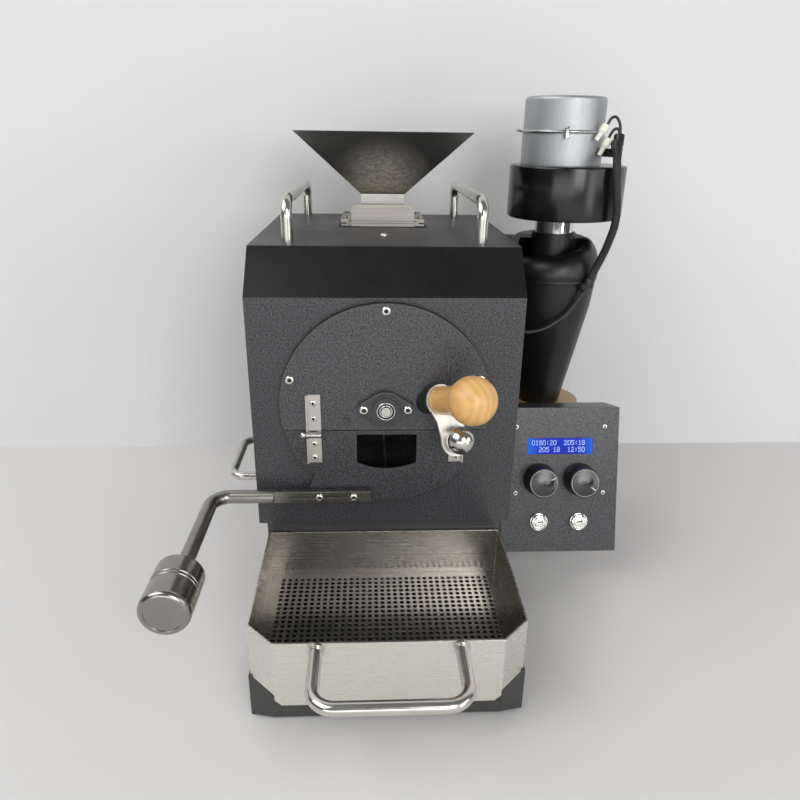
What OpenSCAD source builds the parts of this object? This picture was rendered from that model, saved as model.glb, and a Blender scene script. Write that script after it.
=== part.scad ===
// Home coffee bean roaster. The origin is on the worktop, under the middle of the cabinet's front face:
// +X to the right of someone facing the machine, +Y to its back, +Z up. Millimetres and degrees.

/* [Cabinet] */
// Width of the cabinet
body_w = 230; // [210:1:250]
// Depth of the cabinet
body_d = 268; // [262:1:290]
// Height of the cabinet's lower edge above the worktop
body_bottom = 98; // [98:1:104]
// Height of the vertical part of the front panel
front_h = 210; // [206:1:215]
// Depth of the slanted band over the front panel
slant_d = 34; // [28:1:40]
// Height of the slanted band
slant_h = 36; // [34:1:42]
// Thickness of the cabinet's sheet metal
sheet = 2; // [1.5:0.5:2]

/* [Base and cooling] */
// Width of the base box
base_w = 216; // [214:1:218]
// How far the base box reaches in front of the cabinet
base_front = 131; // [130:1:134]
// Height of the base box under the tray
shelf_z = 41; // [40:1:42]
// Width of the cooling tray
tray_w = 213; // [205:1:213]
// Depth of the cooling tray
tray_d = 146; // [142:1:148]
// Height of the tray's rim above the worktop
tray_rim_z = 89; // [86:1:92]
// Size of the cut corners at the tray's front
tray_cut = 21; // [18:1:24]
// Diameter of the tray's tube handle
tray_grip_d = 10; // [8:1:10]

/* [Drum front] */
// Height of the drum axis
drum_z = 215; // [214:1:216]
// Radius of the round plate on the front
plate_r = 90; // [89:1:91]
// Thickness of the round plate
plate_t = 6; // [5:0.5:6]
// Height of the discharge door's hinge pins
pin_z = 191; // [190.5:0.5:191.5]
// Outer radius of the drum
drum_r = 70; // [68:1:71]
// Diameter of the drum shaft
shaft_d = 8; // [8:1:8]

/* [Door lever] */
// Height of the lever rod at rest
lever_z = 133; // [132:1:134]
// Diameter of the lever rod
lever_d = 12; // [11:1:12]
// Distance of the weight's axis from the middle of the cabinet
weight_x = 151; // [148:1:154]
// Diameter of the counterweight
weight_d = 36; // [34:1:38]
// Length of the counterweight
weight_l = 45; // [42:1:50]

/* [Sampler] */
// How far the sampler turns to the right
trier_side = 27; // [25:1:30]
// How far the sampler points up
trier_rise = 19; // [18:1:20]
// Diameter of the wooden ball grip
grip_ball_d = 39; // [38:1:40]

/* [Feed] */
// Distance of the hopper's axis behind the front face
hopper_y = 186; // [186:1:188]
// Width of the hopper at its rim
hopper_w = 162; // [150:1:165]
// Height of the hopper's rim
hopper_top = 433; // [431:1:435]
// Width of the hopper's neck
neck_w = 43.5; // [43.5:0.5:45]

/* [Extraction] */
// Distance of the cyclone's axis to the right of the middle
cyclone_x = 188; // [188:1:190]
// Distance of the cyclone's axis behind the front face
cyclone_y = 208; // [206:1:210]
// Largest radius of the cyclone
cyclone_r = 52; // [50:1:52]
// Height of the blower's lower face
blower_z = 350; // [348:1:351]
// Height of the blower housing
blower_h = 53; // [51:1:53]
// Radius of the motor can
motor_r = 42; // [41:0.5:42]
// Height of the motor can
motor_h = 65; // [62:1:68]

/* [Controls] */
// Width of the control box
panel_w = 116; // [114:1:118]
// Height of the control panel
panel_h = 145; // [142:1:146]
// Depth of the control box
panel_t = 44; // [42:1:46]
// Backward tilt of the control box
panel_tilt = 15.8; // [14:0.1:18]
// Diameter of the knobs
knob_d = 32; // [30:1:32]

/* [Hidden] */
$fn = 72;
// Small overlap that keeps a cut from ending on a face
e = 0.5;
body_top = body_bottom + front_h + slant_h;
front_top = body_bottom + front_h;
slope = atan2(slant_h, slant_d);
half = body_w / 2;
shaft_r = shaft_d / 2;
// Height of the slanted band's inner face at a depth y
function slant_in(y) = front_top - sheet * cos(slope) + (y - sheet * sin(slope)) * tan(slope);
// Base
foot_h = 2.5;
base_hw = base_w / 2;
base_back = body_d - 2;
wall = 2;
fan_y = base_back - wall - 26;
fan_z = 50;
fan_size = 80;
// Cooling tray
tray_hw = tray_w / 2;
tray_back = -1;
tray_front = tray_back - tray_d;
tray_wall = 1.5;
screen_z = shelf_z + 1.2;
// Front plate and its hinges
face_hole_r = 80;
pin_y = -9.3;
// Lower edge of the fixed plate and upper edge of the door
plate_cut = pin_z + 2.9;
door_cut = pin_z + 2.2;
pin_r = 1.5;
knuckle_r = 2.8;
hinge_x = 61.5;
leaf_w = 12.5;
leaf_t = 1.5;
// Drum
drum_y0 = 2.5;
drum_y1 = 166;
drum_wall = 1.5;
shaft_front = -17;
shaft_back = 190;
// Chaff drawer
drawer_y0 = 42;
drawer_y1 = 122;
drawer_z0 = 113;
drawer_z1 = 136;
drawer_in = 40;
// Sampler
trier_x = 36.3;
trier_z = 219.2;
sleeve_r = 12;
spoon_r = 9.2;
sleeve_end = 19.5;
lobe_drop = 35.3;
lobe_side = 9;
// Feed gate
gate_z = body_top + 2;
gate_t = 2.5;
gate_play = 0.3;
rail_h = gate_t + 2 * gate_play;
hopper_z = gate_z + rail_h + 2;
neck_top = 375;
// Cyclone and blower
seam_ring_z = 287;
cyc_bottom = 139;
duct_r = 17;
duct_y = cyclone_y + cyclone_r - duct_r - 3;
duct_z = 309;
pipe_r = 20.5;
motor_z = blower_z + blower_h;
// Control panel: its frame starts at the middle of the display
panel_x = 173.6;
panel_y = 54.6;
panel_z = 147.7;
panel_up = 38.3;
knob_u = 20;
knob_v = -33;
button_v = -76;
display_w = 64.5;
display_h = 16;

// Route of the sleeved motor cable, from its open end beside the can down to the clip
cable_d = 8;
cable_route = [[235, 172, 432], [233.6, 168.4, 425], [231.6, 162.2, 417], [230, 155.4, 409],
    [229.2, 150.4, 400], [230, 149.8, 388], [233, 150.8, 374], [235, 152, 359], [235, 153, 347], [233, 155, 335],
    [230, 158, 321], [225.5, 160.5, 307], [221, 161.5, 296], [219.5, 161.5, 290]];
// Route of the thin sensor lead, from the clip to the grommet in the cabinet's side
lead_d = 3.5;
lead_route = [[213, 160, 277], [204, 159, 263], [195, 158, 252], [183, 156, 244], [170, 152, 239],
    [157, 146, 238], [144, 138, 241], [132, 130, 245], [124, 125, 247], [118, 123, 247]];
// Two wires from the end of the cable's sleeve over to the boots on the can's terminals
wire_d = 2.8;
wire_routes = [[[235, 172, 430], [235.5, 172.5, 437], [234, 173, 444], [230, 173, 449], [225, 171.5, 448],
    [221, 170, 442]],
    [[233.5, 170.5, 430], [234, 170, 434], [232.5, 169.5, 438], [229, 170, 438], [226, 170.5, 434],
    [224, 171, 429]]];

// ---- Shared shapes ----

// Cylinder along Y from y0 to y1
module rod_y(r, y0, y1) {
    translate([0, y0, 0]) rotate([-90, 0, 0]) cylinder(r = r, h = y1 - y0);
}

// Cylinder along X from x0 to x1
module rod_x(r, x0, x1) {
    translate([x0, 0, 0]) rotate([0, 90, 0]) cylinder(r = r, h = x1 - x0);
}

// Box from its lowest to its highest corner
module span(a, b) {
    translate(a) cube([b[0] - a[0], b[1] - a[1], b[2] - a[2]]);
}

// Bent tube handle in the XZ plane: two legs a pitch apart, and a grip at the given height
module u_tube(pitch, height, r, bend) {
    for (side = [-1, 1]) {
        translate([side * pitch / 2, 0, 0]) cylinder(r = r, h = height - bend);
        translate([side * (pitch / 2 - bend), 0, height - bend]) rotate([90, 0, 0])
            rotate([0, 0, side > 0 ? 0 : 90]) rotate_extrude(angle = 90) translate([bend, 0]) circle(r);
    }
    translate([0, 0, height]) rod_x(r, -pitch / 2 + bend, pitch / 2 - bend);
}

// Outline of a plate with a round middle and a smaller round lobe on each side
module rhombic(r_mid, r_lobe, pitch) {
    a = acos((r_mid - r_lobe) / (pitch / 2));
    circle(r_mid);
    for (side = [-1, 1]) translate([side * pitch / 2, 0]) circle(r_lobe);
    polygon([for (q = [[1, 1], [-1, 1], [-1, -1], [1, -1]]) for (k = q[0] == q[1] ? [0, 1] : [1, 0])
        k == 0 ? [q[0] * (pitch / 2 + r_lobe * cos(a)), q[1] * r_lobe * sin(a)]
               : [q[0] * r_mid * cos(a), q[1] * r_mid * sin(a)]]);
}

// Screw head with a driver socket, its seat on the plane Z = 0
module screw_head(r, h) {
    difference() {
        union() {
            cylinder(r = r, h = h * 0.55);
            translate([0, 0, h * 0.55]) cylinder(r1 = r, r2 = r * 0.72, h = h * 0.45);
        }
        translate([0, 0, h * 0.5]) cylinder(r = r * 0.38, h = h, $fn = 6);
    }
}

// Round tube swept along a route; every ring stands square to the route there
function unit(v) = v / norm(v);
function heading(route, i) = unit(route[min(i + 1, len(route) - 1)] - route[max(i - 1, 0)]);
function ring_point(route, i, r, a) =
    let (t = heading(route, i), side = unit(cross(t, [0, 1, 0])), up = cross(side, t))
    route[i] + r * (cos(a) * side + sin(a) * up);
module swept_tube(route, r, sides) {
    last = len(route) - 1;
    points = [for (i = [0:last]) for (k = [0:sides - 1]) ring_point(route, i, r, 360 * k / sides)];
    walls = [for (i = [0:last - 1]) for (k = [0:sides - 1]) let (n = (k + 1) % sides)
        [i * sides + k, i * sides + n, (i + 1) * sides + n, (i + 1) * sides + k]];
    start = [for (k = [0:sides - 1]) sides - 1 - k];
    end = [for (k = [0:sides - 1]) last * sides + k];
    polyhedron(points, concat([start], walls, [end]), convexity = 4);
}

// ---- Base and cooling ----

module base_outline(inset) {
    hw = base_hw - inset;
    front = -base_front + inset;
    polygon([[-hw, 1 + inset], [-hw, front + 3.5], [-hw + 18, front], [hw - 18, front], [hw, front + 3.5],
        [hw, 1 + inset]]);
}

module base_box() {
    color("#26282a") difference() {
        union() {
            translate([0, 0, foot_h]) linear_extrude(shelf_z - foot_h) base_outline(0);
            span([-base_hw, 1, foot_h], [base_hw, base_back, body_bottom]);
        }
        // Plenum under the tray, open at the top
        translate([0, 0, foot_h + wall]) linear_extrude(shelf_z - foot_h - 2 * wall) base_outline(wall);
        span([-94, -118, shelf_z - wall - e], [94, -10, shelf_z + e]);
        // Rear chamber, and the passage to it from the plenum
        span([-base_hw + wall, 1 + wall, foot_h + wall], [base_hw - wall, base_back - wall, body_bottom - wall]);
        span([-80, -e, 8], [80, 1 + wall + e, shelf_z - 5]);
        // Exhaust slots behind the fan
        for (k = [-4:4]) {
            w = 2 * sqrt(38 * 38 - pow(8 * k, 2)) - 8;
            span([-w / 2, base_back - wall - e, fan_z + 8 * k - 2], [w / 2, base_back + e, fan_z + 8 * k + 2]);
        }
    }
    // Rails under the chaff drawer, welded on top
    color("#26282a") for (y = [drawer_y0 + 3, drawer_y1 - 5])
        span([-half + sheet, y, body_bottom - wall], [drawer_in, y + 2, drawer_z0 - 0.2]);
}

module rubber_feet() {
    color("#151515") {
        for (x = [-78, 78], y = [-108, 250]) translate([x, y, 0]) cylinder(r = 9, h = foot_h);
        // Middle foot, at the origin
        cylinder(r = 9, h = foot_h);
    }
}

module fan_frame() {
    hs = fan_size / 2;
    color("#1d1d1f") difference() {
        span([-hs, fan_y, fan_z - hs], [hs, fan_y + 26, fan_z + hs]);
        translate([0, 0, fan_z]) rod_y(hs - 2, fan_y - e, fan_y + 22);
        translate([0, 0, fan_z]) rod_y(2.05, fan_y + 21, fan_y + 27);
        for (a = [45:90:359]) translate([0, 0, fan_z]) rotate([0, a, 0])
            span([22, fan_y + 21, -14], [34, fan_y + 27, 14]);
    }
}

module fan_rotor() {
    color("#2a2a2c") translate([0, 0, fan_z]) {
        rod_y(16, fan_y + 2, fan_y + 21.7);
        rod_y(2, fan_y + 21, fan_y + 25);
        for (k = [0:6]) rotate([0, k * 360 / 7, 0]) translate([14, fan_y + 11.5, 0]) rotate([35, 0, 0])
            translate([0, -1, -9]) cube([20, 2, 18]);
    }
}

module tray_outline(inset) {
    hw = tray_hw - inset;
    front = tray_front + inset;
    k = tray_cut - inset * 0.586;
    polygon([[-hw, tray_back - inset], [-hw, front + k], [-hw + k, front], [hw - k, front], [hw, front + k],
        [hw, tray_back - inset]]);
}

module cooling_tray() {
    color("#b9bbb8") {
        difference() {
            translate([0, 0, shelf_z]) linear_extrude(tray_rim_z - shelf_z) tray_outline(0);
            translate([0, 0, screen_z]) linear_extrude(tray_rim_z) tray_outline(tray_wall);
            translate([0, 0, shelf_z - e]) linear_extrude(5) tray_outline(8);
        }
        // Front lip that hangs in front of the base
        lip = tray_hw - tray_cut;
        difference() {
            span([-lip, tray_front, 31], [lip, tray_front + tray_wall, shelf_z]);
            for (side = [-1, 1]) translate([side * lip, tray_front - e, 31]) rotate([0, 45, 0])
                cube([7, 10, 7], center = true);
        }
    }
}

module perforated_screen() {
    color("#8f9290") translate([0, 0, screen_z]) linear_extrude(1) tray_outline(tray_wall);
}

module tray_handle() {
    color("#c9cbc8") translate([0, tray_front, 84]) rotate([90, 0, 0]) {
        u_tube(106, 54, tray_grip_d / 2, 16);
        for (x = [-53, 53]) translate([x, 0, 0]) cylinder(r = 6.5, h = 3);
    }
}

// ---- Cabinet ----

module front_panel() {
    color("#2b2d2f") difference() {
        rotate([90, 0, 90]) translate([0, 0, -half]) linear_extrude(body_w)
            polygon([[0, body_bottom], [0, front_top], [slant_d, body_top], [slant_d, slant_in(slant_d)],
                [sheet, slant_in(sheet)], [sheet, body_bottom]]);
        translate([0, 0, drum_z]) rod_y(face_hole_r, -e, sheet + e);
    }
}

module body_shell() {
    color("#2b2d2f") difference() {
        rotate([90, 0, 90]) translate([0, 0, -half]) linear_extrude(body_w)
            polygon([[sheet, body_bottom], [sheet, slant_in(sheet)], [slant_d, slant_in(slant_d)],
                [slant_d, body_top - sheet], [body_d, body_top - sheet], [body_d, body_bottom]]);
        span([-half + sheet, -e, body_bottom - e], [half - sheet, body_d - sheet, body_top + e]);
        // Drawer opening on the left
        span([-half - e, drawer_y0 - 0.5, drawer_z0 - 0.5], [-half + sheet + e, drawer_y1 + 0.5, drawer_z1 + 0.5]);
        // Exhaust duct on the right
        translate([0, duct_y, duct_z]) rod_x(duct_r, half - sheet - e, half + e);
        // Vent slots and the mains inlet in the rear wall
        for (x = [-60, 60]) for (k = [0:5])
            span([x - 22, body_d - sheet - e, 250 + 12 * k], [x + 22, body_d + e, 254 + 12 * k]);
        span([-94, body_d - sheet - e, 116], [-66, body_d + e, 138]);
    }
}

module mains_inlet() {
    color("#101010") difference() {
        union() {
            span([-94, body_d - 18, 116], [-66, body_d, 138]);
            span([-98, body_d, 112], [-62, body_d + 3, 142]);
        }
        span([-91, body_d - 15, 119], [-69, body_d + 4, 135]);
    }
    // Contact pins in the socket
    color("#c9b26a") for (x = [-87, -80, -73])
        span([x - 1, body_d - 15.5, 124 + (x == -80 ? 4 : 0)], [x + 1, body_d - 3, 128 + (x == -80 ? 4 : 0)]);
}

module top_cover() {
    color("#2b2d2f") difference() {
        span([-half, slant_d, body_top - sheet], [half, body_d, body_top]);
        translate([-20, hopper_y - 20, body_top - sheet - e]) cube([40, 40, sheet + 1]);
    }
}

module top_handles() {
    color("#cfd0ce") for (x = [-83, 83]) translate([x, 152.5, body_top]) rotate([0, 0, 90])
        u_tube(203, 35, 5, 14);
}

module chaff_drawer() {
    color("#2b2d2f") {
        span([-half - 2, 32, 111], [-half, 132, 143]);
        difference() {
            span([-half, drawer_y0, drawer_z0], [drawer_in, drawer_y1, drawer_z1]);
            span([-half + 1.5, drawer_y0 + 1.5, drawer_z0 + 1.5], [drawer_in - 1.5, drawer_y1 - 1.5, drawer_z1 + e]);
        }
    }
}

module drawer_handle() {
    color("#cfd0ce") translate([-half - 2, 82, 125]) rotate([0, -90, 0]) rotate([0, 0, 90])
        u_tube(82, 29, 4, 12);
}

module case_screws() {
    color("#c4c5c2") {
        // Round plate
        for (a = [17.5, 90, 162.5]) translate([84 * cos(a), -plate_t, drum_z + 84 * sin(a)]) rotate([90, 0, 0])
            screw_head(3.75, 2.2);
        // Bearing flange
        for (x = [-18.5, 18.5]) translate([x, -plate_t - 5, drum_z]) rotate([90, 0, 0]) screw_head(4, 3);
        // Upper hinge leaves
        for (x = [-hinge_x, hinge_x], z = [205.5, 219.5]) translate([x, -plate_t - leaf_t, z]) rotate([90, 0, 0])
            screw_head(2.6, 1.4);
        // Control panel
        on_panel() for (x = [-43.8, 43.8], z = [19.4, -46.7]) translate([x, 0, z]) rotate([90, 0, 0])
            screw_head(2.2, 1.2);
        // Top cover
        translate([0, 95, body_top]) screw_head(3.5, 1.8);
    }
}

// ---- Drum front ----

module trier_frame() {
    translate([trier_x, 0, trier_z]) rotate([0, 0, trier_side]) rotate([-trier_rise, 0, 0]) children();
}

module face_plate() {
    color("#2b2d2f") difference() {
        translate([0, 0, drum_z]) rod_y(plate_r, -plate_t, 0);
        span([-plate_r - 1, -plate_t - e, drum_z - plate_r - 1], [plate_r + 1, e, plate_cut]);
        translate([0, 0, drum_z]) rod_y(9, -plate_t - e, e);
        translate([-33.5, 0, drum_z - 11]) rod_y(2.5, -plate_t - e, e);
        trier_frame() rod_y(sleeve_r, -30, 30);
    }
}

module bearing_flange() {
    color("#1c1d1e") difference() {
        translate([0, -plate_t, drum_z]) rotate([90, 0, 0]) {
            linear_extrude(5) rhombic(15.5, 5.5, 37);
            cylinder(r = 11, h = 9);
        }
        translate([0, 0, drum_z]) rod_y(8, -plate_t - 10, -plate_t + 1);
    }
}

module bearing_insert() {
    color("#d0d0cc") difference() {
        translate([0, 0, drum_z]) rod_y(8, -plate_t - 10, -plate_t);
        translate([0, 0, drum_z]) rod_y(shaft_r + 0.05, -plate_t - 11, -plate_t + 1);
    }
}

module temperature_probe() {
    color("#6f7071") translate([-33.5, 0, drum_z - 11]) {
        rod_y(2.5, -plate_t, 44);
        difference() {
            rod_y(3.6, -plate_t - 1, -plate_t);
            rod_y(1.8, -plate_t - 2, -plate_t + e);
        }
    }
}

// One leaf of a hinge on the right: up = 1 is the fixed leaf, up = -1 the door's
module hinge_leaf(up, height) {
    z0 = up > 0 ? pin_z + 3.2 : pin_z - 3.2 - height;
    span([-leaf_w / 2, -plate_t - leaf_t, z0], [leaf_w / 2, -plate_t, z0 + height]);
    span([leaf_w / 2 - 1.5, -plate_t - 4, z0], [leaf_w / 2, -plate_t - leaf_t, z0 + height]);
    tabs = up > 0 ? [[-leaf_w / 2, -2.6], [2.6, leaf_w / 2]] : [[-2.3, 2.3]];
    bore = up > 0 ? pin_r : pin_r + 0.06;
    for (t = tabs) difference() {
        union() {
            translate([0, pin_y, pin_z]) rod_x(knuckle_r, t[0], t[1]);
            span([t[0], -plate_t - leaf_t, up > 0 ? pin_z : pin_z - 4],
                [t[1], -plate_t - leaf_t + 1, up > 0 ? pin_z + 4 : pin_z]);
        }
        translate([0, pin_y, pin_z]) rod_x(bore, t[0] - 1, t[1] + 1);
    }
}

module hinge_upper_leaves() {
    color("#c4c5c2") for (side = [0, 1]) mirror([side, 0, 0]) translate([hinge_x, 0, 0]) hinge_leaf(1, 33);
}

module hinge_lower_leaves() {
    color("#c4c5c2") for (side = [0, 1]) mirror([side, 0, 0]) translate([hinge_x, 0, 0]) hinge_leaf(-1, 24);
}

module hinge_pins() {
    color("#d8d8d4") for (side = [0, 1]) mirror([side, 0, 0]) translate([0, pin_y, pin_z]) {
        rod_x(pin_r, hinge_x - leaf_w / 2, hinge_x + leaf_w / 2);
        difference() {
            translate([hinge_x + leaf_w / 2 + 2.6, 0, 0]) sphere(r = 3);
            span([hinge_x - 10, -5, -5], [hinge_x + leaf_w / 2, 5, 5]);
        }
    }
}

// Window outline, a straight top with an arched lower edge
module window_outline(grow) {
    intersection() {
        translate([-25 - grow, 150 - grow - drum_z]) square([52 + 2 * grow, 39.5 + 2 * grow]);
        translate([1, 0]) circle(r = drum_z - 156 + grow);
    }
}

module discharge_door() {
    color("#2b2d2f") difference() {
        union() {
            intersection() {
                translate([0, 0, drum_z]) rod_y(plate_r, -plate_t, -0.5);
                span([-plate_r - 1, -plate_t - 1, drum_z - plate_r - 1], [plate_r + 1, 1, door_cut]);
            }
            // Lug that carries the lever
            translate([0, -0.5, 0]) rotate([90, 0, 0]) linear_extrude(plate_t - 0.5)
                polygon([[-67, 124], [-67, 139], [-61, 153], [-40, 155], [-30, 124]]);
        }
        translate([0, e, drum_z]) rotate([90, 0, 0]) linear_extrude(10) window_outline(0);
        translate([0, e, drum_z]) rotate([90, 0, 0]) linear_extrude(e + 3.5) window_outline(2.5);
    }
}

module window_glass() {
    color("#5c6468", 0.5) translate([0, -0.8, drum_z]) rotate([90, 0, 0]) linear_extrude(2.7) window_outline(2.3);
}

module door_screws() {
    color("#c4c5c2") {
        for (x = [-hinge_x, hinge_x], z = [169, 182]) translate([x, -plate_t - leaf_t, z]) rotate([90, 0, 0])
            screw_head(2.6, 1.4);
        for (x = [-58, -28]) translate([x, -15, lever_z]) rotate([90, 0, 0]) screw_head(3.2, 1.6);
    }
}

module door_lever() {
    lever_y = -plate_t - lever_d / 2;
    bend = 16;
    color("#c6c8c5") translate([0, lever_y, lever_z]) difference() {
        union() {
            rod_x(lever_d / 2, -weight_x + bend, -13);
            translate([-weight_x + bend, -bend, 0]) rotate([0, 0, 90]) rotate_extrude(angle = 90)
                translate([bend, 0]) circle(lever_d / 2);
            translate([-weight_x, 0, 0]) rod_y(lever_d / 2, -122 - lever_y, -bend);
        }
        // Flat on the front where it is screwed to the door
        span([-98, -lever_d, -lever_d], [0, -15 - lever_y, lever_d]);
    }
}

module counterweight() {
    r = weight_d / 2;
    color("#c9cbc9") translate([-weight_x, -122, lever_z]) rotate([90, 0, 0]) difference() {
        rotate_extrude() polygon(concat([[0, 0], [r - 1.5, 0], [r, 1.5], [r, 18], [r - 0.6, 18.5], [r, 19],
            [r, 21.5], [r - 0.6, 22], [r, 22.5]],
            [for (a = [0:15:90]) [r - 4 + 4 * cos(a), weight_l - 4 + 4 * sin(a)]], [[0, weight_l]]));
        translate([0, 0, weight_l - 0.8]) cylinder(r = 13.5, h = 2);
    }
}

// ---- Sampler ----

module trier_sleeve() {
    color("#1c1d1e") difference() {
        trier_frame() rod_y(sleeve_r, -sleeve_end, 20);
        trier_frame() rod_y(spoon_r + 0.3, -sleeve_end - 1, 30);
        translate([-50, 0, drum_z - 50]) cube([150, 60, 100]);
    }
}

module trier_spoon() {
    color("#c9cbc8") trier_frame() difference() {
        rod_y(spoon_r, -sleeve_end - 6, 26);
        rod_y(spoon_r - 1.5, 0, 24);
        span([-12, 0, 0], [12, 24, 12]);
    }
}

module trier_plate() {
    color("#c9cbc8") trier_frame() translate([0, -sleeve_end - 0.3, 0]) rotate([90, 0, 0]) difference() {
        linear_extrude(2) {
            circle(13.5);
            translate([lobe_side, -lobe_drop]) circle(14);
            polygon([[-13, -3], [lobe_side / 2 - 11, -lobe_drop / 2], [lobe_side - 13.6, -lobe_drop + 3],
                [lobe_side + 13.6, -lobe_drop + 3], [lobe_side / 2 + 11, -lobe_drop / 2], [13, -3]]);
        }
        translate([0, 0, -1]) cylinder(r = spoon_r + 0.05, h = 4);
    }
}

module trier_ball() {
    color("#d4d5d2") trier_frame() translate([lobe_side, -sleeve_end - 2.3, -lobe_drop]) rotate([90, 0, 0])
        difference() {
            translate([0, 0, 7]) sphere(r = 12);
            translate([-15, -15, -10]) cube([30, 30, 10]);
        }
}

module trier_handle() {
    rb = grip_ball_d / 2;
    ball_s = 46;
    neck_r = 12;
    color("#c98f4a") trier_frame() translate([0, -sleeve_end - 2.6, 0]) rotate([90, 0, 0]) difference() {
        rotate_extrude() polygon(concat([[0, 0], [neck_r - 1, 0], [neck_r, 1], [neck_r, 20], [neck_r + 0.6, 25],
            [neck_r + 1.6, 29.5]],
            [for (a = [-40:10:90]) [rb * cos(a), ball_s + rb * sin(a)]]));
        translate([0, 0, -1]) cylinder(r = spoon_r, h = 4.4);
    }
}

// ---- Inside the cabinet ----

module heat_shield() {
    color("#a9abaa") translate([0, 165, 0]) rotate([90, 0, 0]) linear_extrude(157) difference() {
        union() {
            translate([0, drum_z]) circle(96);
            translate([-96, 146]) square([192, drum_z - 146]);
        }
        translate([0, drum_z]) circle(94.5);
        translate([-94.5, 60]) square([189, drum_z - 60]);
        translate([-100, 60]) square([200, 86]);
    }
    color("#a9abaa") for (side = [-1, 1])
        span([side * 95.3 - 0.7, 8, body_bottom], [side * 95.3 + 0.7, 30, 146]);
}

module heater_tubes() {
    for (x = [-66, 66]) translate([x, 0, 146]) {
        color("#e6e2da") rod_y(5, 10, 160);
        color("#f2f0ea") for (y = [2, 158]) rod_y(7, y, y + 10);
    }
}

module drum() {
    color("#8d8f8f") translate([0, 0, drum_z]) {
        difference() {
            rod_y(drum_r, drum_y0, drum_y1);
            rod_y(drum_r - drum_wall, drum_y0 - e, drum_y1 + e);
        }
        for (y = [62, 156]) {
            difference() {
                rod_y(10, y, y + 8);
                rod_y(shaft_r, y - e, y + 9);
            }
            for (a = [0, 120, 240]) rotate([0, a, 0]) span([9, y + 2, -4], [drum_r - 1, y + 5, 4]);
        }
        for (a = [45:90:359]) rotate([0, a, 0])
            span([drum_r - 11, drum_y0 + 2, -1], [drum_r - 1, drum_y1 - 2, 1]);
    }
}

module drum_shaft() {
    color("#d0d1ce") translate([0, 0, drum_z]) {
        rod_y(shaft_r, shaft_front, shaft_back);
        // Coupling to the gear motor
        difference() {
            rod_y(9, 182, 199);
            rod_y(3.05, 190, 200);
        }
    }
}

module rear_bulkhead() {
    color("#9a9c9a") difference() {
        union() {
            span([-110, 168, body_bottom], [110, 170.5, 306]);
            translate([0, 0, drum_z]) rod_y(13, 170, 178);
        }
        span([-20, 167, 234], [20, 172, 272]);
        translate([0, 0, drum_z]) rod_y(shaft_r + 0.05, 167, 180);
    }
}

module gear_motor() {
    color("#85888a") {
        translate([0, 0, drum_z]) {
            rod_y(3, 191, 203);
            rod_y(18.5, 203, 228);
            rod_y(17.5, 228, 258);
        }
        difference() {
            span([-21, 201, body_bottom], [21, 203.5, drum_z + 22]);
            translate([0, 0, drum_z]) rod_y(8, 200, 203);
        }
        span([-21, 203, body_bottom], [21, 235, body_bottom + 2.5]);
    }
}

module inlet_chute() {
    w = 22;
    t = 1.2;
    bulkhead = 170.5;
    y0 = hopper_y - w;
    y1 = hopper_y + w;
    top = body_top - sheet;
    color("#b4b6b4") rotate([90, 0, 90]) difference() {
        translate([0, 0, -w]) linear_extrude(2 * w)
            polygon([[bulkhead, 230], [y1, 272], [y1, top], [y0, top], [y0, 322], [bulkhead, 307]]);
        // Open above to the gate and in front to the drum
        translate([0, 0, -w + t]) linear_extrude(2 * (w - t))
            polygon([[bulkhead - 2, 230], [y1 - t, 274], [y1 - t, top + 1], [y0 + t, top + 1], [y0 + t, 322],
                [bulkhead + t, 307], [bulkhead + t, 275], [bulkhead - 2, 275]]);
    }
}

// ---- Feed ----

module gate_rails() {
    plate_hw = 42;
    y0 = hopper_y - 26;
    y1 = hopper_y + 36;
    color("#bfc1be") difference() {
        span([-plate_hw, y0, body_top], [plate_hw, y1, hopper_z]);
        span([-34, y0 - e, gate_z], [34, y1 - 3, gate_z + rail_h]);
        span([-20, hopper_y - 20, body_top - e], [20, hopper_y + 20, hopper_z + e]);
    }
    // Clamp bolts at the sides
    color("#c4c5c2") for (x = [-38, 38], y = [y0 + 8, y1 - 8]) translate([x, y, hopper_z]) cylinder(r = 2.5, h = 1.6);
}

module feed_gate() {
    y0 = hopper_y - 29.5;
    z0 = gate_z + gate_play;
    tab_h = 15;
    color("#cccdca") {
        span([-33.7, y0, z0], [33.7, hopper_y + 28, z0 + gate_t]);
        translate([0, y0, body_top + 0.5]) rotate([90, 0, 0]) linear_extrude(2) {
            translate([-31.5, 0]) square([63, tab_h]);
            translate([-25.5, tab_h]) square([51, 6]);
            for (x = [-25.5, 25.5]) translate([x, tab_h]) circle(6);
        }
    }
}

// Square funnel frustum, its corners on the diagonals
module frustum(w0, w1, h) {
    rotate([0, 0, 45]) cylinder(r1 = w0 / sqrt(2), r2 = w1 / sqrt(2), h = h, $fn = 4);
}

module hopper() {
    t = 1.2;
    // Opening from the funnel into the neck
    mouth = neck_w - 2 * t - 0.1;
    flare = hopper_top - neck_top;
    color("#b7b7b2") translate([0, hopper_y, 0]) {
        difference() {
            translate([-neck_w / 2, -neck_w / 2, hopper_z]) cube([neck_w, neck_w, neck_top - hopper_z]);
            translate([-neck_w / 2 + t, -neck_w / 2 + t, hopper_z - 1])
                cube([neck_w - 2 * t, neck_w - 2 * t, neck_top - hopper_z + 2]);
        }
        difference() {
            translate([0, 0, neck_top]) frustum(neck_w, hopper_w, flare);
            translate([0, 0, neck_top]) frustum(neck_w - 2 * t, hopper_w - 2.8 * t, flare);
            translate([-mouth / 2, -mouth / 2, neck_top - 1]) cube([mouth, mouth, 2]);
            translate([-hopper_w / 2 + 1.4 * t, -hopper_w / 2 + 1.4 * t, hopper_top - 0.1])
                cube([hopper_w - 2.8 * t, hopper_w - 2.8 * t, 1]);
        }
    }
}

// ---- Extraction ----

module at_cyclone() {
    translate([cyclone_x, cyclone_y, 0]) children();
}

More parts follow.
